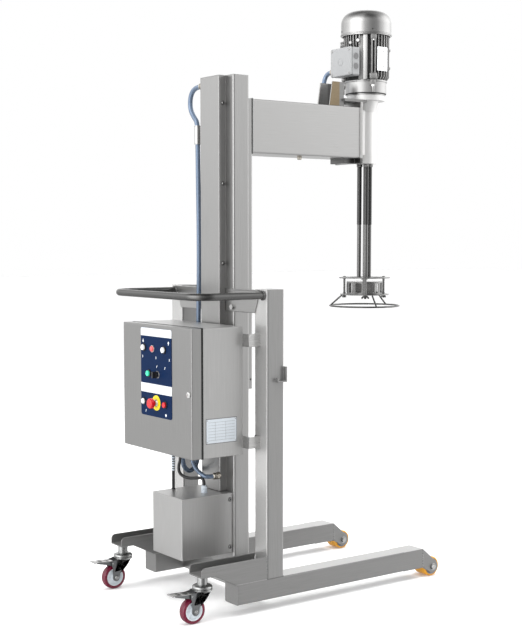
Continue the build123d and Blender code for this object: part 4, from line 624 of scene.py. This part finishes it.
bm = bmesh.new()
add_gland(bm, (-275, 66.5, 2059), (0, 1, 0), 13, 21.5)
add_gland(bm, (-372, 88, BOX_UNDERSIDE), (0, 0, -1), 13, 18, 1)
add_gland(bm, (-362, 32, BOX_UNDERSIDE), (0, 0, -1), 13, 18, 1)
add_gland(bm, (-291, -60, 498), (-1, 0, 0), 13, 31)
add_gland(bm, (*LIFT_CABLE_AT, BOX_UNDERSIDE), (0, 0, -1), 10, 34, 1)
add_gland(bm, (-407, 46, BOX_UNDERSIDE), (0, 0, -1), 10, 18, 1)
add_gland(bm, (-351, -42, LOWER_COVER_TOP), (0, 0, 1), 11.5, 30, 2)
add_lathe(bm, (*LIFT_CABLE_AT, 0), (0, 0, 1), [(0, 580), (6.4, 580), (6.4, 511), (0, 511)], 24, 3)
for index in range(7):
    ring_z = 574 - index * 10
    reach = 8.8 - index * 0.25
    rib = [(6.3, ring_z), (reach, ring_z), (reach, ring_z - 5.4), (6.3, ring_z - 5.4)]
    add_lathe(bm, (*LIFT_CABLE_AT, 0), (0, 0, 1), rib, 24, 2, wrap=True)
add_lathe(bm, (*LIFT_CABLE_AT, LOWER_COVER_TOP), (0, 0, 1),
          [(0, 0), (8.4, 0), (8.4, 1.6), (6.4, 4.2), (0, 4.2)], 24, 3)
sleeve = [(10.35, 1830), (14, 1830), (14, 1833), (13.2, 1834), (13.2, 1901), (14, 1902), (14, 1905),
          (10.35, 1905)]
add_lathe(bm, (-274, 112, 0), (0, 0, 1), sleeve, 32, 4, wrap=True)
add_box(bm, (-260, 112, 1867.5), (4, 28, 75), 1.0, 4)
finish_piece(bm, "stand_glands", "chassis", [nickel, black_plastic, pale_plastic, black_rubber, bright],
             ["cable_glands"])
bm = bmesh.new()
add_gland(bm, (405, 67, 2166), (0, 1, 0), 13, 23)
add_gland(bm, (346, 64, 2006), (0, 0, 1), 13, 10)
add_gland(bm, (127, -44, 1791), (0, 0, -1), 9, 16)
finish_piece(bm, "carriage_glands", "carriage", [nickel], ["arm_glands"])


# Legs, with the trays open to the rear and the cheeks cut back under the rollers
def cut_copy(node_name, piece_name, openings):
    """A copy of a rigid piece with openings cut out of it, which stands for that piece."""
    bmesh.ops.recalc_face_normals(openings, faces=openings.faces)
    bmesh.ops.scale(openings, vec=(MM, MM, MM), verts=openings.verts)
    cutter_mesh = bpy.data.meshes.new("openings")
    openings.to_mesh(cutter_mesh)
    openings.free()
    cutter = bpy.data.objects.new("openings", cutter_mesh)
    whole = bpy.data.objects.new("whole", nodes[node_name].data.copy())
    for item in (cutter, whole):
        bpy.context.scene.collection.objects.link(item)
    cut = whole.modifiers.new("openings", "BOOLEAN")
    cut.object = cutter
    cut.operation = "DIFFERENCE"
    mesh = bpy.data.meshes.new_from_object(whole.evaluated_get(bpy.context.evaluated_depsgraph_get()))
    bpy.data.objects.remove(cutter)
    bpy.data.objects.remove(whole)
    mesh.name = piece_name
    piece = bpy.data.objects.new(piece_name, mesh)
    bpy.context.scene.collection.objects.link(piece)
    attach(piece, "chassis")
    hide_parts(node_name)


for side_name, sign in SIDES:
    bm = bmesh.new()
    add_box(bm, (-562, sign * LEG_Y, 202), (26, 78, 40))
    wedge = [(455, 45.9), (569, 45.9), (611.8, 18.5), (611.8, -5), (455, -5)]
    add_prism(bm, [(x, sign * LEG_Y - 50, z) for x, z in wedge], (0, 100, 0))
    cut_copy(f"leg_{side_name}", f"open_leg_{side_name}", bm)

# Controls on the door
OVERLAY_X = -547.0
CONTACT_BLOCK_X = -525.5
CONTROLS = {
    "raise": (-61, 1019), "lower": (89, 1020), "fault": (23, 1018), "start": (52, 919),
    "select": (-14, 919), "power": (92, 805), "emergency": (-2, 806), "halt": (-69, 805),
}
bm = bmesh.new()
for label, (y, z) in CONTROLS.items():
    spot = (OVERLAY_X, y, z)
    if label == "emergency":
        disc = [(12.1, 0), (30, 0), (30, 1.4), (29.4, 2.0), (14, 2.0), (12.1, 2.0)]
        add_lathe(bm, spot, (-1, 0, 0), disc, 64, 2, wrap=True)
        add_lathe(bm, spot, (-1, 0, 0), [(9, 1.9), (15, 1.9), (15, 4), (12.6, 6.5), (10.5, 9.5), (9, 9.5)],
                  40, 3, wrap=True)
    else:
        shine = 1 if label in ("fault", "select") else 0
        bezel = [(11.3, -3), (12, 0), (15, 0), (15, 2.6), (13.6, 4.8), (12, 5), (11.3, 4.4)]
        add_lathe(bm, spot, (-1, 0, 0), bezel, 40, shine, wrap=True)
    add_box(bm, (CONTACT_BLOCK_X, y, z), (36, 30, 30), 1.5, 0)
finish_piece(bm, "control_bezels", "door", [black_plastic, chrome, sign_yellow, nickel],
             ["control_collars"])
bm = bmesh.new()
for label, shade in (("fault", 0), ("power", 1)):
    y, z = CONTROLS[label]
    dome = [(0, 11), (4, 10.9), (8, 10.2), (10, 8.8), (11, 6.5), (11, 0), (0, 0)]
    add_lathe(bm, (OVERLAY_X, y, z), (-1, 0, 0), dome[::-1], 40, shade)
finish_piece(bm, "lamp_lenses", "door", [lens_red, cap_white], ["pilot_lamps"])


def add_mark(bm, y, z, outline):
    """A flat printed mark on the overlay, from (across, up) points."""
    add_prism(bm, [(OVERLAY_X + 0.1, y - across, z + up) for across, up in outline], (-0.3, 0, 0))


bm = bmesh.new()
arrow = [(-6, 0), (0, 8), (6, 0), (2.2, 0), (2.2, -7), (-2.2, -7), (-2.2, 0)]
down_arrow = [(across, -up) for across, up in arrow[::-1]]
bar = [(-1.6, -5), (1.6, -5), (1.6, 5), (-1.6, 5)]
slanted = [(-4, -5), (-1, -5), (4, 5), (1, 5)]
ring = [(5.5 * cos(radians(30 * step)), 5.5 * sin(radians(30 * step))) for step in range(12)]
for y, z, outline in (
    (-61 - 32, 1046, arrow), (-61 - 38, 982, bar), (89 + 8, 1046, down_arrow), (89 + 12, 984, bar),
    (0, 984, bar), (78, 919, slanted), (-6, 950, slanted), (-66, 948, slanted), (92 - 14, 768, slanted),
    (-72, 764, ring),
):
    add_mark(bm, y, z, outline)
finish_piece(bm, "overlay_marks", "door", [mark_white])

# Lock insert, screws and blank plates
LOCK_YZ = (-235, 860)
bm = bmesh.new()
add_lathe(bm, (-545.5, *LOCK_YZ), (-1, 0, 0),
          [(4.6, 4.6), (13, 0), (13, 2.6), (11.4, 4.8), (6.8, 6), (4.6, 6)], 40, wrap=True)
add_box(bm, (-550.6, *LOCK_YZ), (1.6, 2.6, 12), 0.3)
finish_piece(bm, "lock_insert", "lock", [chrome])

bm = bmesh.new()
button_head = [(3.2, 4.6), (5.4, 4.4), (6.6, 3.2), (7.0, 1.6), (9.4, 1.5), (9.6, 0.2), (9.4, 0), (0, 0)]
screw_places = [(-271, side * 66.5, 1982 - 315 * index, side) for _, side in SIDES for index in range(5)]
screw_places += [(-271, side * 109.5, z, side) for _, side in SIDES for z in (213, 406)]
for x, y, z, side in screw_places:
    add_lathe(bm, (x, y, z), (0, side, 0), button_head[::-1], 24)
    add_lathe(bm, (x, y + side * 3.2, z), (0, side, 0), [(0, 0), (3.2, 0), (3.2, 1.4)], 6, 1)
finish_piece(bm, "cover_screws", "chassis", [head_steel, black_plastic])

PLATE_X = -411
PLATE_Z = 716
bm = bmesh.new()
add_box(bm, (PLATE_X, -255.4, PLATE_Z), (144, 0.8, 98), 0.3, 2)
add_box(bm, (PLATE_X, -255.7, PLATE_Z), (138, 0.8, 92), 0.2)
for x in (PLATE_X - 65, PLATE_X + 65):
    for z in (PLATE_Z - 42, PLATE_Z + 42):
        add_lathe(bm, (x, -256, z), (0, -1, 0), [(0, 1.6), (1.4, 1.4), (2.2, 0.5), (2.2, 0), (0, 0)], 12, 1)
for row in range(7):
    add_box(bm, (PLATE_X, -256.15, 750 - row * 11.5), (122, 0.2, 0.9), 0, 2)
for column in (-440, -392):
    add_box(bm, (column, -256.15, 715.5), (0.9, 0.2, 69), 0, 2)
finish_piece(bm, "blank_plate", "chassis", [plate_pale, bright, knockout_grey])

# Dark gap round the door
GAP_X = -498
GAP_WIDTH = 8.6
DOOR_Z = 862
bm = bmesh.new()
for side in (-1, 1):
    add_box(bm, (GAP_X, side * 254.9, DOOR_Z), (GAP_WIDTH, 1.4, 501.4))
    add_box(bm, (GAP_X, 0, DOOR_Z + side * 250.0), (GAP_WIDTH, 511.2, 1.4))
finish_piece(bm, "door_gap", "chassis", [seal_black])


# Mixer motor: blank rating plate, tie bolts, lugs and lid screws
def on_motor(angle, radius, height):
    """A point round the mixer axis."""
    return Vector((MIXER[0] + radius * cos(radians(angle)), MIXER[1] + radius * sin(radians(angle)), height))


def spin(angle):
    """Turn about the upright axis."""
    return Matrix.Rotation(radians(angle), 3, "Z")


CASING = (2127.0, 2319.0)
LUGS = (-112, 12, 132)
FIN_HALF = 1.5


def on_rim(bm, angle, radius, height, profile, steps=20, slot_index=0):
    """A turned detail that stands out of the motor at an angle and height."""
    outward = on_motor(angle, 1, 0) - on_motor(angle, 0, 0)
    add_lathe(bm, on_motor(angle, radius, height), outward, profile, steps, slot_index)


def add_fin(bm, angle, bottom, top, tip=100.0):
    """A cooling fin with a slanted foot."""
    tangent = spin(angle) @ Vector((0, 1, 0))
    outline = [(83, bottom), (tip - 9, bottom), (tip, bottom + 13), (tip, top), (83, top)]
    points = [on_motor(angle, radius, height) - tangent * FIN_HALF for radius, height in outline]
    add_prism(bm, points, tangent * 2 * FIN_HALF, 1)


bm = bmesh.new()
floor_z, roof_z = CASING
# The core between the fins is near-black: painted shade deep between the fins
add_lathe(bm, (*MIXER, 0), UP, [(0, floor_z), (84.2, floor_z), (84.2, roof_z), (0, roof_z)], 96)
for index in range(25):
    angle = -98 + 9.6 * index
    if min(abs(angle - lug) for lug in LUGS) > 11:
        add_fin(bm, angle, floor_z + 2, roof_z - 3)
for index in range(9):
    add_fin(bm, 143 + 8.6 * index, 2262, roof_z - 3, 97)
# Painted shade: this strip takes the darker copy of the cast aluminium
add_box(bm, on_motor(-144, 88.5, 2221), (9, 22, 188), 1.5, 3, spin(-144))
add_box(bm, on_motor(-131.8, 92.5, 2221), (18, 19, 190), 2, 1, spin(-141))
for lug in LUGS:
    for offset in (-4.7, 4.7):
        add_box(bm, on_motor(lug + offset, 93, 2223), (20, 6.4, 188), 1.5, 1, spin(lug))
    # The tie bolts in the lug grooves are real parts; their near-black is painted shade in the grooves
    add_tube(bm, [on_motor(lug, 91, floor_z), on_motor(lug, 91, roof_z)], 3.4, 16, 0)
    add_box(bm, on_motor(lug, 94, 2306), (22, 27, 24), 4, 1, spin(lug))
    add_box(bm, on_motor(lug, 94, 2141), (22, 34, 26), 5, 1, spin(lug))
    add_box(bm, on_motor(lug, 91, 2115), (19, 24, 26), 4, 1, spin(lug))
    add_lathe(bm, on_motor(lug, 97, 2290), UP, [(0, 0), (6.5, 0), (6.5, 7), (0, 7)], 6, 2)
    add_lathe(bm, on_motor(lug, 97, 2096), UP, [(0, 0), (9, 0), (9, 9), (0, 9)], 6, 2)
    add_lathe(bm, on_motor(lug, 97, 2072), UP, [(0, 0), (4.4, 1), (5, 3), (5, 26), (0, 26)], 18, 2)
boss = [(0, 0), (13, 0), (13, 24), (11, 26), (8, 26), (8, 23), (0, 23)]
on_rim(bm, 141, 86, 2283, boss, 24, 1)
for angle, height in ((-150.5, 2291), (-172, 2284)):
    on_rim(bm, angle, 92, height, [(0, 0), (8, 0), (8, 9), (6, 11), (0, 11)], 20, 2)
for height in (2181, 2257):
    on_rim(bm, -45, 94, height, [(0, 0), (10, 0), (10, 6), (8.5, 8), (5, 8), (5, 11), (0, 11)], 20, 2)
finish_piece(bm, "motor_casing", "carriage", [painted_shade_black, cast, bright, painted_shade_cast],
             ["motor_body"])

# Rims of the fan cover and the end shield, with the dark joints between them; the near-black joint ring is
# painted shade
bm = bmesh.new()
rims = (
    ([(107.5, 2319.2), (110, 2318.6), (111.2, 2321), (110.8, 2324), (108.4, 2326)], 0),
    ([(103, 2316), (107.4, 2316), (107.4, 2321), (103, 2321)], 2),
    ([(88, 2119.4), (91.4, 2119.8), (92, 2121.5), (92, 2126), (91, 2127.6), (88, 2127.6)], 0),
    # The near-black ring is painted shade in the joint of the end shield's flange
    ([(81.2, 2070.2), (88.2, 2070.4), (88.2, 2073.0), (81.2, 2073.0)], 1),
    ([(81.0, 2064), (83.4, 2064.6), (84.2, 2067), (83.4, 2070), (81.0, 2070.4)], 0),
)
for profile, slot_index in rims:
    add_lathe(bm, (*MIXER, 0), UP, profile, 96, slot_index, wrap=True)
finish_piece(bm, "motor_rims", "carriage", [pressed, painted_shade_black, bright])

bm = bmesh.new()
plate_low, plate_high, plate_steps = 2164, 2264, 8
rows = []
for radius in (100.6, 101.8):
    ring = []
    for index in range(plate_steps + 1):
        angle = -102 + 35 * index / plate_steps
        ring.append((on_motor(angle, radius, plate_low), on_motor(angle, radius, plate_high)))
    rows.append([(bm.verts.new(low), bm.verts.new(high)) for low, high in ring])
inner, outer = rows
for index in range(plate_steps):
    bm.faces.new((outer[index][0], outer[index + 1][0], outer[index + 1][1], outer[index][1]))
    bm.faces.new((inner[index + 1][0], inner[index][0], inner[index][1], inner[index + 1][1]))
    bm.faces.new((inner[index][0], inner[index + 1][0], outer[index + 1][0], outer[index][0]))
    bm.faces.new((inner[index + 1][1], inner[index][1], outer[index][1], outer[index + 1][1]))
for end in (0, plate_steps):
    bm.faces.new((inner[end][0], outer[end][0], outer[end][1], inner[end][1]))
for z in (2183, 2245):
    on_rim(bm, -84.5, 101.6, z, [(0, 0), (2.4, 0), (2.4, 0.6), (1.4, 1.5), (0, 1.7)], 14, 1)
finish_piece(bm, "motor_plate", "carriage", [print_white, dark_steel])

LID_X = 381
LID_Z = 2199.5
bm = bmesh.new()
for y in (-57, 57):
    for z in (2150, 2249):
        screw = [(0, -1), (5.5, -1), (5.5, 1.6), (4.4, 2.6), (0, 2.6)]
        add_lathe(bm, (LID_X, y, z), (-1, 0, 0), screw, 20, 1)
        add_box(bm, (378.2, y, z), (0.6, 7, 1.2), 0, 2)
add_lathe(bm, (LID_X, 0, LID_Z), (-1, 0, 0), [(14, -0.4), (16, -0.4), (16, 0.5), (14, 0.5)], 40, 0, wrap=True)
add_box(bm, (390.6, 0, LID_Z), (1.2, 134.8, 119.8), 0, 2)
for side in (-1, 1):
    for z in (2178, 2220):
        knockout_at = (410.5, side * 66.6, z)
        rim = [(13.4, 0), (16, 0), (16, 1.3), (15, 1.6), (13.4, 0.7)]
        plug = [(0, 0), (13.5, 0), (13.5, 0.8), (6, 1.0), (5.6, 0.7), (0, 0.7)]
        add_lathe(bm, knockout_at, (0, side, 0), rim, 40, 0, wrap=True)
        add_lathe(bm, knockout_at, (0, side, 0), plug, 40, 3)
finish_piece(bm, "terminal_lid_screws", "carriage", [lid_grey, bright, black_plastic, knockout_grey])

bm = bmesh.new()
for angle in (-205, -116, -20, 70):
    on_rim(bm, angle, 106.5, 2336, [(0, 0), (3.4, 0), (3.4, 2.6), (2.4, 3.4), (0, 3.4)], 14)
finish_piece(bm, "fan_cover_screws", "carriage", [dark_steel])

ROD_CIRCLE = 26
bm = bmesh.new()
collar = [(9.6, 0), (10.3, 0.5), (10.3, 2.2), (9.6, 2.8)]
for z in (1515, 1524, 1536):
    for index in range(3):
        add_lathe(bm, on_motor(120 * index, ROD_CIRCLE, z), UP, collar, 32, wrap=True)
for index in range(3):
    sleeve = [(9.4, 1510.5), (10.2, 1511), (10.2, 1761.4), (9.4, 1761.8)]
    add_lathe(bm, on_motor(120 * index, ROD_CIRCLE, 0), UP, sleeve, 40, wrap=True)
finish_piece(bm, "stem_sleeves", "carriage", [dark_steel])

# Mixing head: pillars with wing nuts
PILLAR_CIRCLE = 100
PILLAR_TURN = -8.3
bm = bmesh.new()
for index in range(3):
    angle = PILLAR_TURN + 120 * index
    pillar = [(0, 1208), (6.5, 1208), (6.5, 1213), (5, 1215), (5, 1270), (6.5, 1272), (6.5, 1277), (0, 1277)]
    add_lathe(bm, on_motor(angle, PILLAR_CIRCLE, 0), UP, pillar, 24)
    nut = [(0, 1189), (4.2, 1189), (5.4, 1194), (7, 1201), (7, 1204), (0, 1204)]
    add_lathe(bm, on_motor(angle, PILLAR_CIRCLE, 0), UP, nut, 24, 1)
    add_lathe(bm, on_motor(angle, PILLAR_CIRCLE, 0), UP, [(0, 1281), (7, 1281), (6, 1284), (0, 1285)], 24, 1)
    for side in (-1, 1):
        wing = [(5, 1203), (9, 1203), (17, 1196), (17, 1190), (13, 1189.4), (5, 1196)]
        tangent = spin(angle) @ Vector((0, side, 0))
        normal = spin(angle) @ Vector((1, 0, 0))
        base = on_motor(angle, 98.5, 0)
        add_prism(bm, [base + tangent * out + UP * up for out, up in wing], normal * 3, 1)
finish_piece(bm, "head_pillars", "carriage", [head_steel, wire_steel], ["head_fasteners"])


# Weld beads of the stand
def add_bead(bm, points, radius=1.8, closed=True):
    """A weld bead with its ripples along straight runs between points."""
    runs = [Vector(point) for point in points]
    if closed:
        runs.append(runs[0])
    line = even_steps(runs, 2.2)
    if closed:
        line = line[:-1]
    radii = [radius * (1 + 0.12 * (index % 2)) for index in range(len(line))]
    add_tube(bm, line, radii, 8, closed=closed)


STEM_R = 19.3
bm = bmesh.new()
for _, side in SIDES:
    centre_y = side * LEG_Y
    turns = [radians(15 * step) for step in range(24)]
    add_bead(bm, [(STEM_X + STEM_R * cos(turn), centre_y + STEM_R * sin(turn), 177.6) for turn in turns])
    seam = [(19.1, 144), (19.7, 144), (19.7, 177), (19.1, 177)]
    add_lathe(bm, (STEM_X, centre_y, 0), UP, seam, 48, wrap=True)
    post_inner, post_outer = side * 260, side * 344
    add_bead(bm, [(-178, post_inner, 129), (-178, post_outer, 129)], 2.0, False)
    add_bead(bm, [(-258.6, post_outer, 217), (-258.6, post_outer, 131)], 1.4, False)
    add_bead(bm, [(-255, side * 258, 129), (-180, side * 258, 129)], 1.8, False)
    for face in (-1, 1):
        for dot in range(7):
            dot_at = (569, centre_y + face * 42.8, 54 + dot * 11)
            add_lathe(bm, dot_at, (0, face, 0), [(0, 0), (3.2, 0.1), (2.4, 1.1), (0, 1.6)], 12)
    add_bead(bm, [(-181, side * 260, 52), (-181, side * 260, 122)], 1.8, False)
finish_piece(bm, "stand_welds", "chassis", [zinc], sharp=60)
bm = bmesh.new()
for _, side in SIDES:
    for face in (-1, 1):
        seat = (ROLLER_X, side * LEG_Y + face * 43, ROLLER_R)
        add_lathe(bm, seat, (0, face, 0), [(0, 0), (15, 0), (15, 1.8), (0, 1.8)], 32)
        add_lathe(bm, seat, (0, face, 0), [(0, 1.6), (11.8, 1.8), (11.8, 7.4), (10.4, 9.2), (0, 9.2)], 6)
finish_piece(bm, "axle_nuts", "chassis", [bright])
bm = bmesh.new()
add_bead(bm, [(-137, -80.5, 1791), (-137, -80.5, 2006), (-137, 80.5, 2006), (-137, 80.5, 1791)], 2.6)
finish_piece(bm, "arm_weld", "carriage", [zinc], sharp=60)


# Floor, light and camera; places in metres, angles in degrees
FLOOR_REACH = 40.0
FLOOR_GLOW = 0.14
STUDIO_STRENGTH = 5.6
OVERHEAD_AT = (0.2, -0.5, 4.6)
OVERHEAD_SIZE = 5.2
OVERHEAD_POWER = 380
CAMERA_AT = (-3.1125, -4.2302, 1.45)
CAMERA_TILT = 85.01
CAMERA_TURN = -36.01
CAMERA_LENS = 71.07
CAMERA_SHIFT = 0.045

floor_mesh = bpy.data.meshes.new("floor")
corners = [(x * FLOOR_REACH, y * FLOOR_REACH, 0) for x, y in ((-1, -1), (1, -1), (1, 1), (-1, 1))]
floor_mesh.from_pydata(corners, [], [(0, 1, 2, 3)])
floor = bpy.data.objects.new("floor", floor_mesh)
white_floor = surface("studio_floor", (0.88, 0.88, 0.88), (0.90, 0.90, 0.90), (0.7, 0.8), 3)
floor_shader = white_floor.node_tree.nodes["Principled BSDF"]
floor_shader.inputs["Emission Color"].default_value = (1, 1, 1, 1)
floor_shader.inputs["Emission Strength"].default_value = FLOOR_GLOW
floor_mesh.materials.append(white_floor)
bpy.context.scene.collection.objects.link(floor)
floor.visible_glossy = False


def ramp(tree, value, stops):
    """A level read from (place, level) stops between 0 and 1."""
    node = tree.nodes.new("ShaderNodeValToRGB")
    node.color_ramp.interpolation = "EASE"
    points = node.color_ramp.elements
    while len(points) < len(stops):
        points.new(0.5)
    for point, (at, level) in zip(points, stops):
        point.position = at
        point.color = (level, level, level, 1)
    tree.links.new(value, node.inputs["Fac"])
    return node.outputs["Color"]


def combine(tree, operation, first, second):
    """Result of one sum on two values; each is a number or a socket."""
    node = tree.nodes.new("ShaderNodeMath")
    node.operation = operation
    for value, socket in ((first, node.inputs[0]), (second, node.inputs[1])):
        if isinstance(value, bpy.types.NodeSocket):
            tree.links.new(value, socket)
        else:
            socket.default_value = value
    return node.outputs[0]


# White studio: two wide soft boxes left and right of a darker wall behind the camera
world = bpy.data.worlds.new("studio")
world.use_nodes = True
tree = world.node_tree
around = tree.nodes.new("ShaderNodeTexCoord")
parts = tree.nodes.new("ShaderNodeSeparateXYZ")
tree.links.new(around.outputs["Generated"], parts.inputs["Vector"])
heading = combine(tree, "ARCTAN2", parts.outputs["Y"], parts.outputs["X"])
heading = spread(tree, heading, 0.0, 1.0, -pi, pi)
TURN_STOPS = (
    (0.0, 1.0), (0.065, 0.85), (0.12, 0.25), (0.22, 0.11), (0.29, 0.14), (0.335, 0.36), (0.37, 0.42),
    (0.40, 0.62), (0.47, 0.70), (0.56, 0.40), (0.66, 0.36), (0.74, 0.26), (0.84, 0.40), (0.90, 0.50),
    (0.94, 0.85), (1.0, 1.0),
)
RISE_STOPS = ((0.0, 0.20), (0.40, 0.44), (0.49, 0.46), (0.56, 0.62), (0.62, 0.70), (0.78, 0.60),
              (0.88, 0.24), (0.96, 0.12))
wall = ramp(tree, heading, TURN_STOPS)
ceiling = ramp(tree, spread(tree, parts.outputs["Z"], 0.0, 1.0, -1.0, 1.0), RISE_STOPS)
strength = combine(tree, "MULTIPLY", combine(tree, "MULTIPLY", wall, ceiling), STUDIO_STRENGTH)
rays = tree.nodes.new("ShaderNodeLightPath")
seen = tree.nodes.new("ShaderNodeMix")
tree.links.new(rays.outputs["Is Camera Ray"], seen.inputs["Factor"])
tree.links.new(strength, seen.inputs["A"])
seen.inputs["B"].default_value = 1.0
tree.links.new(seen.outputs["Result"], tree.nodes["Background"].inputs["Strength"])
tree.nodes["Background"].inputs["Color"].default_value = (1, 1, 1, 1)
bpy.context.scene.world = world
bpy.context.scene.view_settings.view_transform = "Standard"

# Soft box overhead, turned to the origin and kept out of reflections
light = bpy.data.lights.new("overhead", "AREA")
light.shape = "RECTANGLE"
light.size = light.size_y = OVERHEAD_SIZE
light.energy = OVERHEAD_POWER
overhead = bpy.data.objects.new("overhead", light)
overhead.location = OVERHEAD_AT
overhead.rotation_euler = (-Vector(OVERHEAD_AT)).to_track_quat("-Z", "Y").to_euler()
overhead.visible_glossy = False
bpy.context.scene.collection.objects.link(overhead)

camera_data = bpy.data.cameras.new("camera")
camera_data.lens = CAMERA_LENS
camera_data.shift_y = CAMERA_SHIFT
camera_data.clip_end = 200
camera = bpy.data.objects.new("camera", camera_data)
camera.location = CAMERA_AT
camera.rotation_euler = (radians(CAMERA_TILT), 0, radians(CAMERA_TURN))
bpy.context.scene.collection.objects.link(camera)
bpy.context.scene.camera = camera
